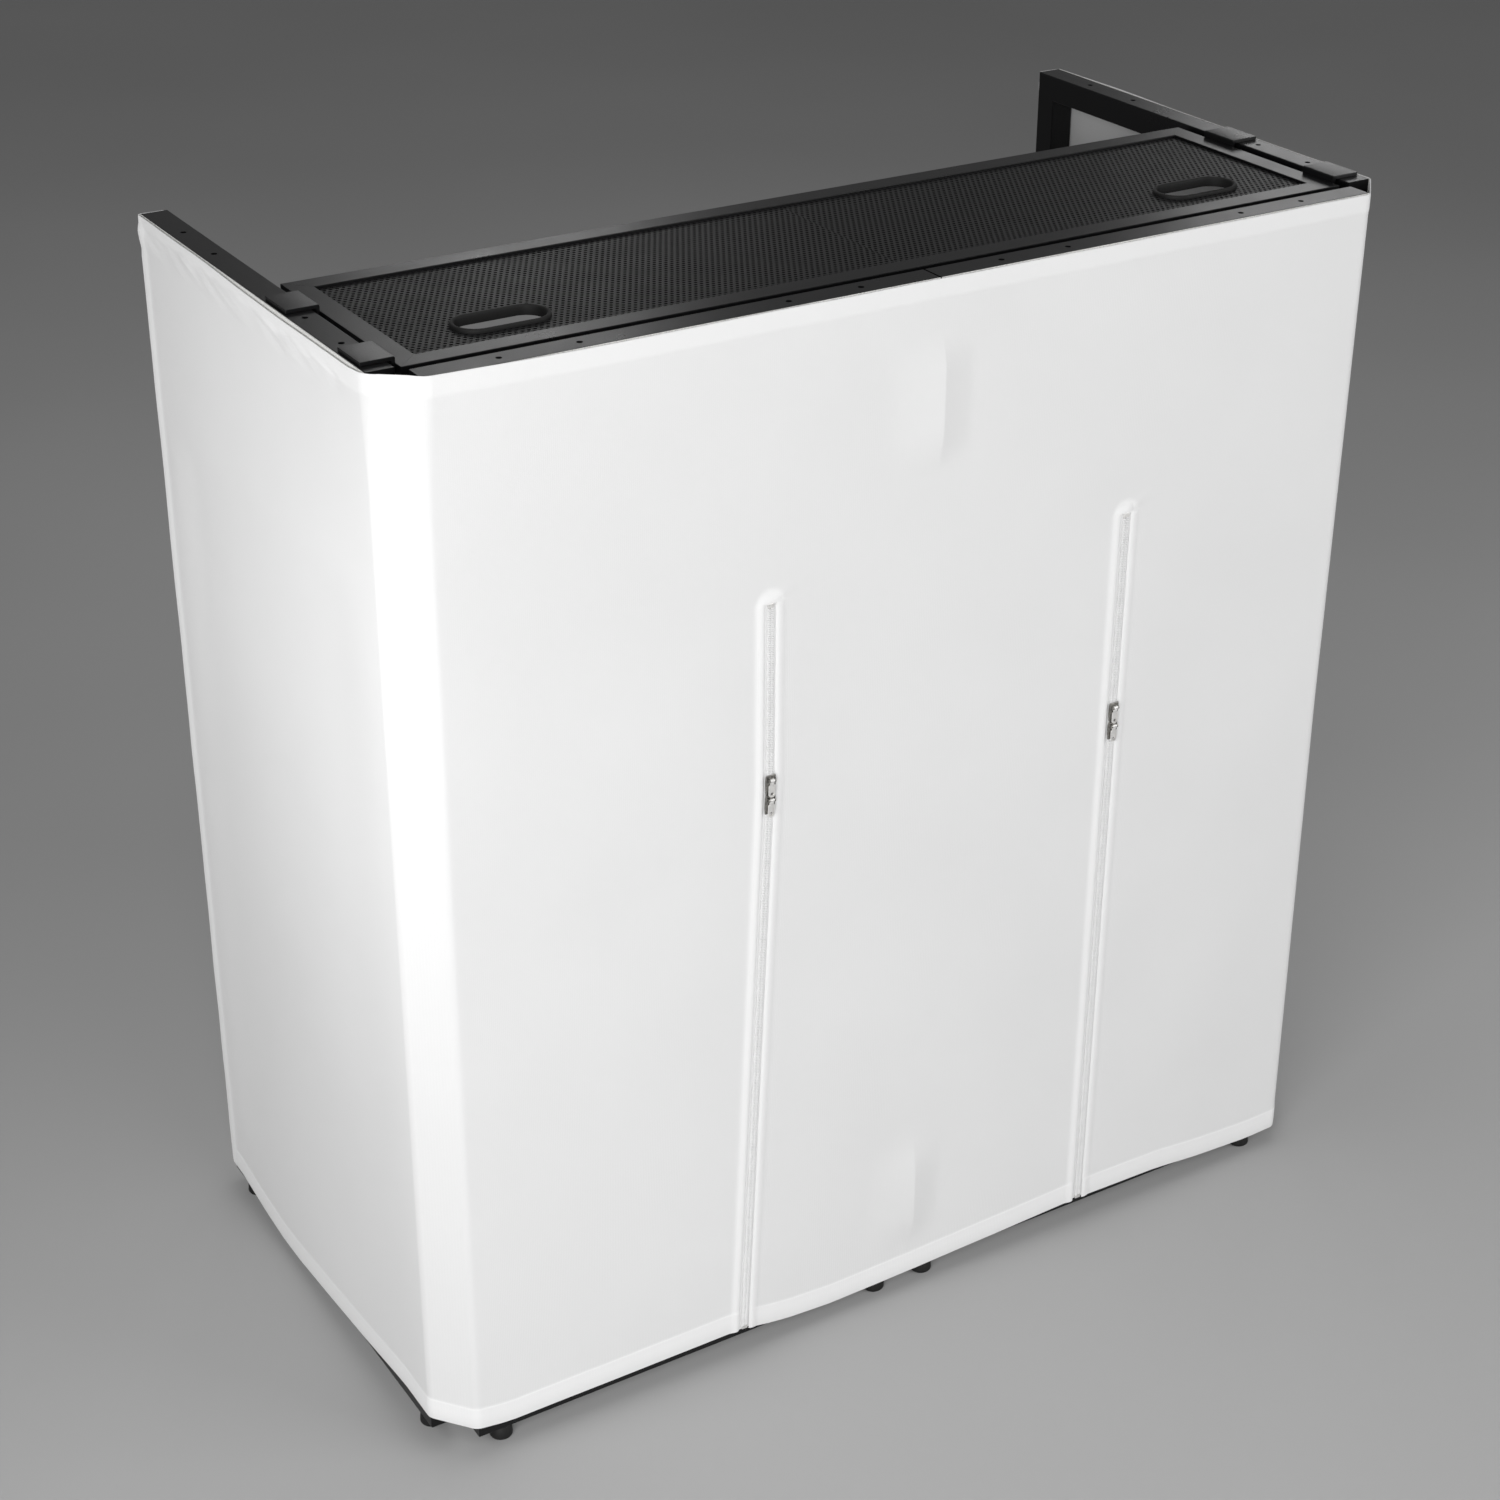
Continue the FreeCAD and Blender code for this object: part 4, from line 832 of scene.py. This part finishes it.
# %% uneven edges
# Points of the scrim's edges as the photograph shows them: millimetres along it from the left corner, and
# millimetres up. The bottom hem is pulled up at the left corner, and the top stands up there.
HALF_CORNER = 29 * MM
TOP_EDGE = (
    (-430, 0), (-320, -2.2), (-210, -3.2), (-60, -2.6), (-32, 0), (-14, 3.2), (12, 4.4), (30, 3.2),
    (85, 2), (130, 0.8), (180, 0),
)
BOTTOM_EDGE = (
    (-588, 10), (-558, 9), (-533, 5), (-483, -3), (-433, -8), (-383, -8), (-283, 0), (-183, 9),
    (-108, 17), (-83, 19), (-33, 18), (29, 14), (64, 9), (364, 9), (394, 3), (424, -1), (484, -4),
    (604, -1), (724, 3), (844, 8), (964, 6), (1024, 1), (1114, -3), (1149, -1),
)
# Small waves on top of that: their height, and how many there are in a metre.
LOW_WAVE, LOW_WAVES = 0.6 * MM, 9
TOP_WAVE, TOP_WAVES = 1.4 * MM, 7
PUCKERS, PUCKER_SLANT, PUCKER_ROWS = 34, 22, 9


def corner_way(point):
    """Distance along the scrim from the middle of the left corner, negative on the wing."""
    if point.x > -FRONT_END:
        return point.x + FRONT_END + HALF_CORNER
    if point.y > WING_FRONT:
        return WING_FRONT - point.y - HALF_CORNER
    share = (point.x + SIDE) / (SIDE - FRONT_END)
    return HALF_CORNER * (2 * min(max(share, 0.0), 1.0) - 1)


def between(table, place):
    """Reads a table of (place, value) rows in millimetres, straight between its rows, and gives metres."""
    value = table[0][1]
    for (near, low), (far, high) in zip(table, table[1:]):
        value += (high - low) * min(max((place / MM - near) / (far - near), 0.0), 1.0)
    return value * MM


def edge_wave(point, level):
    """How far the cloth near an edge is moved up, because the edges are not ruler straight."""
    low = 1 - rise(level - low_hem, 0, 140)
    high = rise(level - SCRIM_TOP, -50, 0)
    along = point.x + point.y
    way = corner_way(point)
    bottom = noise.noise((along * LOW_WAVES, 4.3, 0)) * LOW_WAVE
    top = (noise.noise((along * TOP_WAVES, 9.1, 0)) - 0.5) * TOP_WAVE
    return low * (bottom + between(BOTTOM_EDGE, way)) + high * (top + between(TOP_EDGE, way))


def pucker(along, level):
    """Short slanting puckers just under the top hem, where the knit is pulled on its hooks."""
    below = high_hem - level
    fade = rise(below, -12, 0) * (1 - rise(below, 0, 70))
    return fade * noise.noise((along * PUCKERS + level * PUCKER_SLANT, level * PUCKER_ROWS, 2.7))


# %% laying a sheet
CLOTH = 1.0 * MM
SKIN = 2.0 * MM


def walked(line):
    """Distance along a plan line at each of its points."""
    along = [0.0]
    for one, two in zip(line, line[1:]):
        along.append(along[-1] + (two - one).length)
    return along


def plain(along, level, point):
    """The cloth lies flat and single."""
    return 0.0


def lay_cloth(name, sign, line_at, push=plain, double_and_highlight=plain, cut=None):
    """Lays a grid along a plan line, one row for each level, and gives it thickness.

    line_at(level) is the plan line, push(along, level, point) what stands out of it,
    the function after push, taking (along, level, point), is 1 where the cloth lies double and where a
    highlight is painted on it, and cut(along, level) leaves faces out.
    """
    lines = [line_at(level) for level in levels]
    along = walked(line_at(SCRIM_TOP - 2 * TOP_HEM))
    across, up = len(along) - 1, len(levels) - 1
    bm = bmesh.new()
    bmesh.ops.create_grid(bm, x_segments=across, y_segments=up, size=1.0)
    cloth_map = bm.loops.layers.uv.new("cloth")
    layers = bm.verts.layers.float.new("double_and_highlight")
    spots = {}
    for vert in bm.verts:
        spots[vert] = (round((vert.co.x + 1) / 2 * across), round((vert.co.y + 1) / 2 * up))
    for vert, (column, row) in spots.items():
        level, line, here = levels[row], lines[row], along[column]
        point = line[column]
        run = (line[min(column + 1, across)] - line[max(column - 1, 0)]).normalized()
        away = Vector((run.y, -run.x, 0)) * sign
        lift = hem_lift(point, level) + push(here, level, point)
        vert.co = point + away * lift + UP * (level + edge_wave(point, level))
        vert[layers] = max(hem_white_and_highlight(point, level), double_and_highlight(here, level, point))
    for face in bm.faces:
        for loop in face.loops:
            column, row = spots[loop.vert]
            loop[cloth_map].uv = (along[column], levels[row])
    if cut is not None:
        dropped = []
        for face in bm.faces:
            corners = [spots[vert] for vert in face.verts]
            middle = sum(along[column] for column, row in corners) / 4
            if cut(middle, sum(levels[row] for column, row in corners) / 4):
                dropped.append(face)
        bmesh.ops.delete(bm, geom=dropped, context="FACES")
    if sign > 0:
        bmesh.ops.reverse_faces(bm, faces=bm.faces[:])
    bm.normal_update()
    bmesh.ops.solidify(bm, geom=bm.faces[:], thickness=CLOTH)
    return settle(name, bm, knit, sharp=60)


def stretched(piece, node, width):
    """Says that a piece is a tight sheet that stands for a CAD solid."""
    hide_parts(node)
    print(f"{piece.name}: {width / MM:.0f} mm wide, {len(piece.data.polygons)} faces")


# %% [markdown]
# ### Front sheets
# Each front sheet has one long zip. Its columns are packed close beside the zip, the faces in the slot
# are deleted, and the welts that hide the tape's edges are pushed out as rounded ridges.
# A small crease runs up and to the right from the head of each zip, as in the photograph.

# %% zip lines
TAPE_EDGE = 8 * MM
SLIDER_GAP = 0.8 * MM
ZIP_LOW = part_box("right_zip_tapes")[0].z
zips = {}
for side in SIDES:
    low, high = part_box(f"{side}_zip_tapes")
    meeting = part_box(f"{side}_upper_slider")[0].z - SLIDER_GAP / 2
    zips[side] = {"x": high.x - TAPE_EDGE, "meeting": meeting, "lean": high.x - low.x - 2 * TAPE_EDGE}
    print(side, "zip in mm:", {name: round(part / MM, 1) for name, part in zips[side].items()})


def zip_shift(side, level):
    """How far a zip has moved along X: it hangs straight above its sliders and leans below them."""
    zip_line = zips[side]
    below = max(zip_line["meeting"] - level, 0.0)
    return -zip_line["lean"] * below / (zip_line["meeting"] - ZIP_LOW)


# %% front sheets
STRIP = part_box("centre_scrim")[1].x
SHEET_EDGE = 552 * MM
SLOT = 7.2 * MM
WELT = ((7.2, 0.9), (7.8, 1.4), (9, 1.8), (10.8, 1.85), (12.8, 1.5), (14.8, 0.9), (17, 0.3), (19.5, 0))
WELT_WHITE_AND_HIGHLIGHT = 0.8
BESIDE_WELT = (22, 25, 28, 32, 37, 43, 50, 62)
COLUMN = 18 * MM
CREASE, CREASE_WIDE, CREASE_SLOPE = 0.9 * MM, 6 * MM, 1.5
FRONT_PUCKER = 0.35 * MM


def front_sheet(side, sign):
    """The sheet between the centre strip and a corner, with the slot of its zip."""
    middle = abs(zips[side]["x"])
    near = [row[0] * MM for row in WELT] + [reach * MM for reach in BESIDE_WELT]
    offsets = sorted([-reach for reach in near] + [0.0] + near)
    inner = spread(STRIP, middle + offsets[0], COLUMN)
    outer = spread(middle + offsets[-1], SHEET_EDGE, COLUMN)[1:] + [SHEET_EDGE]
    columns = inner + [middle + offset for offset in offsets] + outer

    def line_at(level):
        shift = zip_shift(side, level)
        line = []
        for column in columns:
            span = middle - STRIP if column < middle else SHEET_EDGE - middle
            hat = 1 - rise(abs(column - middle), 40, span / MM)
            line.append(Vector((sign * column + shift * hat, FRONT - SKIN, 0)))
        return line

    def from_zip(along):
        return along + STRIP - middle

    def push(along, level, point):
        reach = from_zip(along)
        head = max(level - ZIP_TOP, 0.0)
        beside = between(WELT, math.hypot(reach, head + SLOT) if head > 0 else abs(reach))
        if head > 0 and abs(reach) < SLOT:
            beside = between(WELT, head + SLOT)
        track = (sign * reach - CREASE_SLOPE * head) / math.hypot(1, CREASE_SLOPE)
        crease = math.exp(-((track / CREASE_WIDE) ** 2)) * rise(head, 0, 6) * (1 - rise(head, 6, 26))
        return beside + CREASE * crease + FRONT_PUCKER * pucker(point.x, level)

    # Whiter where the welt lies double, up to 13 mm from the zip. From there to 19 mm the whitening is
    # painted highlight over the welt's outer flank and cancels its shade.
    def double_and_highlight(along, level, point):
        head = max(level - ZIP_TOP, 0.0)
        return WELT_WHITE_AND_HIGHLIGHT * (1 - rise(math.hypot(from_zip(along), head), 13, 19))

    def cut(along, level):
        return abs(from_zip(along)) < SLOT and level < ZIP_TOP

    piece = lay_cloth(f"{side}_front_sheet", sign, line_at, push, double_and_highlight, cut)
    body = f"front_{side}"
    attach(piece, body)
    stretched(piece, f"{body}_scrim", SHEET_EDGE - STRIP)


for side, sign in SIDES.items():
    front_sheet(side, sign)

# %% [markdown]
# ### Centre strip
# The centre hinges stand in front of the tubes, so the scrim rises over each of them like a low tent:
# evenly from the left to a crisp ridge on the barrel, and down again over a shorter way at the right.

# %% centre strip
HINGE = 76 * MM
BUMP = 7.0 * MM
CREST = 4 * MM
TENT = {-1: 60 * MM, 1: 38 * MM}
TENT_CURVE = 1.25
STRIP_PUCKER = 0.3 * MM
STRIP_COLUMNS = (
    -60, -54, -47, -40, -33, -26, -20, -14, -9, -5, -2, 1, 3, 4, 5, 7, 10, 14, 18, 23, 28, 33, 38,
    42, 48, 54, 60,
)
hinge_low, hinge_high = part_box("centre_left_leaves")
hinge_middles = (hinge_low.z + HINGE / 2, hinge_high.z - HINGE / 2)


def tented(along, level, point):
    """Rise of the scrim over a centre hinge, with the puckers under the top hem."""
    reach = point.x - CREST
    wide = max(1 - abs(reach) / TENT[1 if reach > 0 else -1], 0.0) ** TENT_CURVE
    beyond = min(abs(level - middle) for middle in hinge_middles) - HINGE / 2
    return BUMP * wide * (1 - rise(beyond, -8, 40)) + STRIP_PUCKER * pucker(point.x, level)


strip_line = [Vector((column * MM, FRONT - SKIN, 0)) for column in STRIP_COLUMNS]
strip = lay_cloth("centre_strip", 1, lambda level: strip_line, tented)
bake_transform(strip)
stretched(strip, "centre_scrim", 2 * STRIP)

# %% [markdown]
# ### Corners and wings
# At each corner the scrim crosses from the front panel to the wing in a flat chamfer between two creases.
# Near the top left it rounds the corner more softly, so the plan line there has wider bends.
# At the right it is tight at the top and stands off a little towards the floor.
# The wing sheets are turned round the rear post. Below the cross tube the cloth has nothing behind it
# and bows in a little. Under the top hem it is gathered in small slanting folds.

# %% corner sheets
WING_FACE = SIDE + SKIN
LOOSE = {"left": 3 * MM, "right": -1 * MM}
TIGHT_BEND, SOFT_BEND = 5 * MM, 14 * MM
SOFT_OUT, STAND_OFF = 1 * MM, 8 * MM


def rounded_plan(corners, bend):
    """The points of a plan line whose inner corners are rounded by bevelling its vertices."""
    bm = bmesh.new()
    verts = [bm.verts.new((x, y, 0)) for x, y in corners]
    for pair in zip(verts, verts[1:]):
        bm.edges.new(pair)
    round_off(bm, verts[1:-1], bend, 6, "VERTICES", clamp=False)
    ends = [vert for vert in bm.verts if len(vert.link_edges) == 1]
    first = Vector((*corners[0], 0))
    here = min(ends, key=lambda vert: (vert.co - first).length)
    line, came = [here.co.copy()], None
    while True:
        onward = [edge for edge in here.link_edges if edge != came]
        if not onward:
            break
        came = onward[0]
        here = came.other_vert(here)
        line.append(here.co.copy())
    bm.free()
    return line


def corner_line(side, outwards, bend):
    """A corner's plan line: a run on the front, the chamfer, moved outwards, and a run on the wing."""
    sign = SIDES[side]
    out = LOOSE[side] + outwards
    corners = (
        (sign * SHEET_EDGE, FRONT - SKIN), (sign * (FRONT_END + out), FRONT - SKIN),
        (sign * WING_FACE, WING_FRONT - out), (sign * WING_FACE, WING_EDGE),
    )
    return rounded_plan(corners, bend)


def corner_sheet(side, sign):
    """The sheet across a corner."""
    tight = corner_line(side, 0, TIGHT_BEND)
    if side == "left":
        loose = corner_line(side, SOFT_OUT, SOFT_BEND)
    else:
        loose = corner_line(side, STAND_OFF, TIGHT_BEND)

    def line_at(level):
        if side == "left":
            share = rise(level - SCRIM_TOP, -120, -5)
        else:
            share = max(1 - 2 * (level - SCRIM_LOW) / (SCRIM_TOP - SCRIM_LOW), 0.0)
        return [one.lerp(two, share) for one, two in zip(tight, loose)]

    piece = lay_cloth(f"{side}_corner_sheet", sign, line_at)
    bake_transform(piece)
    width = walked(tight)[-1]
    stretched(piece, f"{side}_corner_scrim", width)


for side, sign in SIDES.items():
    corner_sheet(side, sign)

# %% wing sheets
REAR_HEM = 16 * MM
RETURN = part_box("right_wing_scrim")[0].x
WING_COLUMN = 6 * MM
REAR_BEND = 4 * MM
SAG = 3.0 * MM
FLUTTER, FLUTTERS = 0.5 * MM, 14
FOLD, FOLDS, FOLD_SLANT, FOLD_ROWS = 2.8 * MM, 16, 0.3, 95
cross_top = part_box("right_wing_cross_rail")[1].z
post_front = WING_REAR - TUBE


def sag(point, level):
    """How far the wing's cloth bows in below the cross tube, 0 to 1."""
    inside = rise(point.y - WING_EDGE, 0, 90) * rise(post_front - point.y, 0, 70)
    below = cross_top + 8 * MM - level
    bow = rise(below, 0, 50) * (1 - 0.6 * rise(below, 60, 480))
    return inside * bow * rise(level - SCRIM_LOW, 40, 160)


def gather(point, level):
    """Slanting folds in a belt under the wing's top hem, -1 to 1."""
    below = SCRIM_TOP - level
    belt = rise(below, 6, 14) * (1 - rise(below, 22, 46)) * rise(point.y - WING_EDGE, 0, 40)
    return belt * noise.noise((point.y * FOLDS, (level - FOLD_SLANT * point.y) * FOLD_ROWS, 2.7))


def rear_hem(along, level, point):
    """1 on the hem at the wing's rear edge."""
    return rise(point.y - WING_REAR + REAR_HEM, 0, 1.2)


def wing_push(along, level, point):
    """What stands out on a wing: the rear hem, a flutter beside it and the folds, less the sag."""
    hem = HEM * rear_hem(along, level, point) * (1 - hem_share(point, level))
    flutter = noise.noise((level * FLUTTERS, 7.7, 0)) * rise(point.y - WING_REAR, -40, 0)
    return hem - SAG * sag(point, level) + FLUTTER * flutter + FOLD * gather(point, level)


def wing_sheet(side, sign):
    """The sheet on a wing, turned round its rear post."""
    last = WING_REAR - 24 * MM
    straight = spread(WING_EDGE, last, WING_COLUMN) + [last]
    straight += [WING_REAR - REAR_HEM - shift * MM for shift in (0.8, -0.6, -6)]
    corners = (
        (sign * WING_FACE, WING_REAR - 8 * MM), (sign * WING_FACE, WING_REAR + SKIN),
        (sign * RETURN, WING_REAR + SKIN),
    )
    line = [Vector((sign * WING_FACE, reach, 0)) for reach in straight] + rounded_plan(corners, REAR_BEND)
    piece = lay_cloth(f"{side}_wing_sheet", sign, lambda level: line, wing_push, rear_hem)
    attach(piece, f"{side}_wing")
    width = walked(line)[-1]
    stretched(piece, f"{side}_wing_scrim", width)


for side, sign in SIDES.items():
    wing_sheet(side, sign)

# %% [markdown]
# ## Zips
# Each zip is two woven tapes with a nylon coil along the edge, metal stops, and two sliders that meet
# head to head. One tooth of the coil is a small rounded block, and an Array modifier repeats it
# along the chain.
# Sliders and pulls are die cast, so their blocks are waisted and every edge is rounded.

# %% tapes and coils
ZIP_STOP = 4 * MM
TAPE_FACE, TAPE_THICK = 3.3 * MM, 0.5 * MM
TAPE_SPLIT, TAPE_WIDE = 0.4 * MM, 9.6 * MM
TAPE_CUTS = 60
TOOTH, TOOTH_SHARE, TOOTH_ROUND = 2.0 * MM, 0.84, 0.3 * MM
TOOTH_SPLIT, TOOTH_WIDE = 0.06 * MM, 3.6 * MM
COIL_FACE = 5.4 * MM


def hung(bm, side):
    """Moves a strip drawn at X = 0 on the front plane to its zip, and leans its lower run."""
    for vert in bm.verts:
        vert.co += Vector((zips[side]["x"] + zip_shift(side, vert.co.z), FRONT, 0))
    return bm


def tape_pair(side):
    """Two flat tapes with a split between them."""
    bm = bmesh.new()
    for hand in (-1, 1):
        near, far = sorted((hand * TAPE_SPLIT, hand * TAPE_WIDE))
        tape = block((near, -TAPE_FACE, ZIP_LOW), (far, -TAPE_FACE + TAPE_THICK, ZIP_TOP))
        bmesh.ops.subdivide_edges(tape, edges=edges_along(tape, 2), cuts=TAPE_CUTS)
        poured(bm, tape)
    return hung(bm, side)


def coil_pair(side):
    """Two rows of teeth that mesh, one tooth repeated along the chain."""
    bm = bmesh.new()
    count = int((ZIP_TOP - ZIP_LOW - 2 * ZIP_STOP) / TOOTH)
    for hand, shift in ((-1, 0.0), (1, TOOTH / 2)):
        near, far = sorted((hand * TOOTH_SPLIT, hand * TOOTH_WIDE))
        start = ZIP_LOW + ZIP_STOP + shift
        tooth = block((near, -COIL_FACE, start), (far, -TAPE_FACE, start + TOOTH_SHARE * TOOTH))
        round_off(tooth, tooth.edges[:], TOOTH_ROUND, 1)
        poured(bm, repeated(tooth, nylon, (count, (0, 0, TOOTH))))
    return hung(bm, side)


for side in SIDES:
    body = f"front_{side}"
    tapes = settle(f"{side}_zip_tape_pair", tape_pair(side), tape_cloth)
    carried(tapes, body, "white_zip_tape", f"{side}_zip_tapes")
    carried(settle(f"{side}_zip_coil", coil_pair(side), nylon), body, "white_zip_tape")

# %% slider shape
SLIDER = 22 * MM
PLATE_HALF, PLATE_BACK, PLATE_FACE = 6.5 * MM, 5.7 * MM, 7.2 * MM
PLATE_DOME, PLATE_ROUND = 0.9 * MM, 0.55 * MM
WAIST, END_TAPER = 0.8, 0.12
BACK_HALF, BACK_REAR, BACK_FACE, BACK_ROUND = 5.6 * MM, 1.7 * MM, 2.9 * MM, 0.4 * MM
WEDGE_HALF, WEDGE_ROUND = 0.25 * MM, 0.05 * MM
LIP_NEAR, LIP_FAR, LIP_REAR, LIP_ROUND = 3.9 * MM, 5.4 * MM, 4.5 * MM, 0.3 * MM
LUG_NEAR, LUG_FAR, LUG_FACE = 2.75 * MM, 4.1 * MM, 11.5 * MM
LUG_HALF, LUG_ROUND = 2 * MM, 1.7 * MM
PIN_RADIUS, PIN_LENGTH = 1 * MM, 7.4 * MM
PIVOT = (-9.5 * MM, -5 * MM)


def cast_block(low, high, edge_round, steps=2):
    """A block with all its edges rounded, as a die casting has."""
    bm = block(low, high)
    round_off(bm, bm.edges[:], edge_round, steps)
    return bm


def domed(bm, front, depth):
    """Bulges the front face of a cast plate, most in its middle."""
    reach_x = max(abs(vert.co.x) for vert in bm.verts)
    low = min(vert.co.z for vert in bm.verts)
    high = max(vert.co.z for vert in bm.verts)
    for vert in bm.verts:
        if abs(vert.co.y - front) < HAIR / 10:
            beside = 1 - (vert.co.x / reach_x) ** 2
            along = 1 - ((2 * vert.co.z - low - high) / (high - low)) ** 2
            vert.co.y -= depth * beside * along


def waisted_plate():
    """The slider's front plate, domed, narrow in the middle and a little narrower at its ends."""
    plate = block((-PLATE_HALF, -PLATE_FACE, -SLIDER), (PLATE_HALF, -PLATE_BACK, 0))
    long_edges = edges_along(plate, 2) + edges_along(plate, 0)
    bmesh.ops.subdivide_edges(plate, edges=long_edges, cuts=5, use_grid_fill=True)
    domed(plate, -PLATE_FACE, PLATE_DOME)
    for vert in plate.verts:
        share = abs(vert.co.z + SLIDER / 2) / (SLIDER / 2)
        vert.co.x *= WAIST + (1 - WAIST) * ease(share * 1.2) - END_TAPER * ease((share - 0.75) / 0.25)
    round_off(plate, sharp_edges(plate), PLATE_ROUND, 3)
    return plate


def slider_shape():
    """Zip slider: front plate, back plate, the wedge between them, side lips, two lugs and the pivot pin."""
    slider = waisted_plate()
    back_low = (-BACK_HALF, -BACK_FACE, -SLIDER + 2 * MM)
    poured(slider, cast_block(back_low, (BACK_HALF, -BACK_REAR, -2 * MM), BACK_ROUND))
    wedge_low = (-WEDGE_HALF, -PLATE_BACK, -SLIDER + 4 * MM)
    poured(slider, cast_block(wedge_low, (WEDGE_HALF, -BACK_FACE, -4 * MM), WEDGE_ROUND, 1))
    for hand in (-1, 1):
        near, far = sorted((hand * LIP_NEAR, hand * LIP_FAR))
        lip_low = (near, -PLATE_BACK, -SLIDER + 4 * MM)
        poured(slider, cast_block(lip_low, (far, -LIP_REAR, -4 * MM), LIP_ROUND))
        near, far = sorted((hand * LUG_NEAR, hand * LUG_FAR))
        lug = block((near, -LUG_FACE, PIVOT[1] - LUG_HALF), (far, -PLATE_FACE, PIVOT[1] + LUG_HALF))
        crown = [edge for edge in edges_along(lug, 0) if edge.verts[0].co.y < -LUG_FACE + HAIR]
        round_off(lug, crown, LUG_ROUND, 4)
        poured(slider, lug)
    pin = bmesh.new()
    level = Matrix.Translation((0, *PIVOT)) @ Matrix.Rotation(math.pi / 2, 4, "Y")
    rod(pin, level, PIN_RADIUS, PIN_LENGTH, sides=16)
    poured(slider, pin)
    return slider


# %% pull shape
TAB_HALF, TAB_FACE, TAB_BACK = 4 * MM, 10.2 * MM, 8.8 * MM
TAB_LOW = PIVOT[1] - 19.5 * MM
TAB_HIGH = PIVOT[1] - 5 * MM
TAB_RIM, TAB_END, TAB_SHOULDER = 0.35 * MM, 3.9 * MM, 1.2 * MM
SUNK_RIM, SUNK = 1.3 * MM, 0.5 * MM
NECK_HALF = 2.5 * MM
EYE = ((1.1, -2.5), (2.0, -2.5), (2.0, 2.5), (1.1, 2.5))
EYELET, EYELET_DOWN = 1.6 * MM, 15.5 * MM


def pull_shape():
    """Pull tab with a round end, a sunk face and a neck."""
    tab = block((-TAB_HALF, -TAB_FACE, TAB_LOW), (TAB_HALF, -TAB_BACK, TAB_HIGH))
    lower = [edge for edge in edges_along(tab, 1) if edge.verts[0].co.z < TAB_LOW + HAIR]
    round_off(tab, lower, TAB_END, 6)
    upper = [edge for edge in edges_along(tab, 1) if edge.verts[0].co.z > TAB_HIGH - HAIR]
    round_off(tab, upper, TAB_SHOULDER, 3)
    round_off(tab, sharp_edges(tab), TAB_RIM, 2)
    face = [item for item in tab.faces if item.normal.y < -0.9]
    bmesh.ops.inset_region(tab, faces=face, thickness=SUNK_RIM, depth=-SUNK)
    neck_low = (-NECK_HALF, -TAB_FACE, PIVOT[1] - 6 * MM)
    poured(tab, cast_block(neck_low, (NECK_HALF, -TAB_BACK, PIVOT[1] - 1.2 * MM), TAB_RIM))
    return tab


def pull_eye():
    """Ring of the pull round the pivot pin."""
    bm = bmesh.new()
    verts = [bm.verts.new((across * MM, PIVOT[0] + reach * MM, PIVOT[1])) for reach, across in EYE]
    edges = [bm.edges.new(pair) for pair in zip(verts, verts[1:] + verts[:1])]
    bmesh.ops.spin(
        bm, geom=edges, cent=(0, *PIVOT), axis=X_AXIS, angle=2 * math.pi, steps=20, use_merge=True,
    )
    return bm


def pull_drill():
    """Cutter for the hole near the end of the tab."""
    bm = bmesh.new()
    hole = Matrix.Translation((0, PIVOT[0], PIVOT[1] - EYELET_DOWN)) @ Matrix.Rotation(math.pi / 2, 4, "X")
    rod(bm, hole, EYELET, 6 * MM, sides=20)
    return bm


# %% sliders and pulls
def cast_pull(name, place):
    """A pull at its place: the tab is drilled first, and its eye is joined to it after that."""
    shape, drill, eye = pull_shape(), pull_drill(), pull_eye()
    for part in (shape, drill, eye):
        part.transform(place)
    tab = settle(name, shape, highlight_nickel)
    bored(tab, drill)
    joined = bmesh.new()
    joined.from_mesh(tab.data)
    poured(joined, eye)
    bpy.data.objects.remove(tab)
    return settle(name, joined, highlight_nickel)


for side in SIDES:
    zip_line = zips[side]
    meeting = Matrix.Translation((zip_line["x"], FRONT, zip_line["meeting"]))
    tilt = Matrix.Rotation(math.atan2(zip_line["lean"], zip_line["meeting"] - ZIP_LOW), 4, "Y")
    places = {
        "upper": meeting @ Matrix.Translation((0, 0, SLIDER + SLIDER_GAP / 2)),
        "lower": meeting @ tilt @ Matrix.Translation((0, 0, -SLIDER_GAP / 2)),
    }
    for name, place in places.items():
        shape = slider_shape()
        shape.transform(place)
        node = f"{side}_{name}_slider"
        carried(settle(f"{node}_cast", shape, nickel), node, "nickel_plated_zinc", node)
        node = f"{side}_{name}_pull"
        carried(cast_pull(f"{node}_cast", place), node, "nickel_plated_zinc", node)

# %% [markdown]
# ## Carried-over CAD nodes
# Hinge leaves, pins, hook strips and the zip stops already have their true shape in the CAD model.
# They stay as they are and only get the finish of the real material.

# %% finishes for CAD nodes
CAD_FINISHES = {
    "leaves": zinc, "hinge_pins": drawn_steel, "hook_strip": hooks, "zip_stops": highlight_nickel,
}
for node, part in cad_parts.items():
    for ending, material in CAD_FINISHES.items():
        if node.endswith(ending):
            part.data.materials.clear()
            part.data.materials.append(material)
            print(f"{node} gets {material.name}")
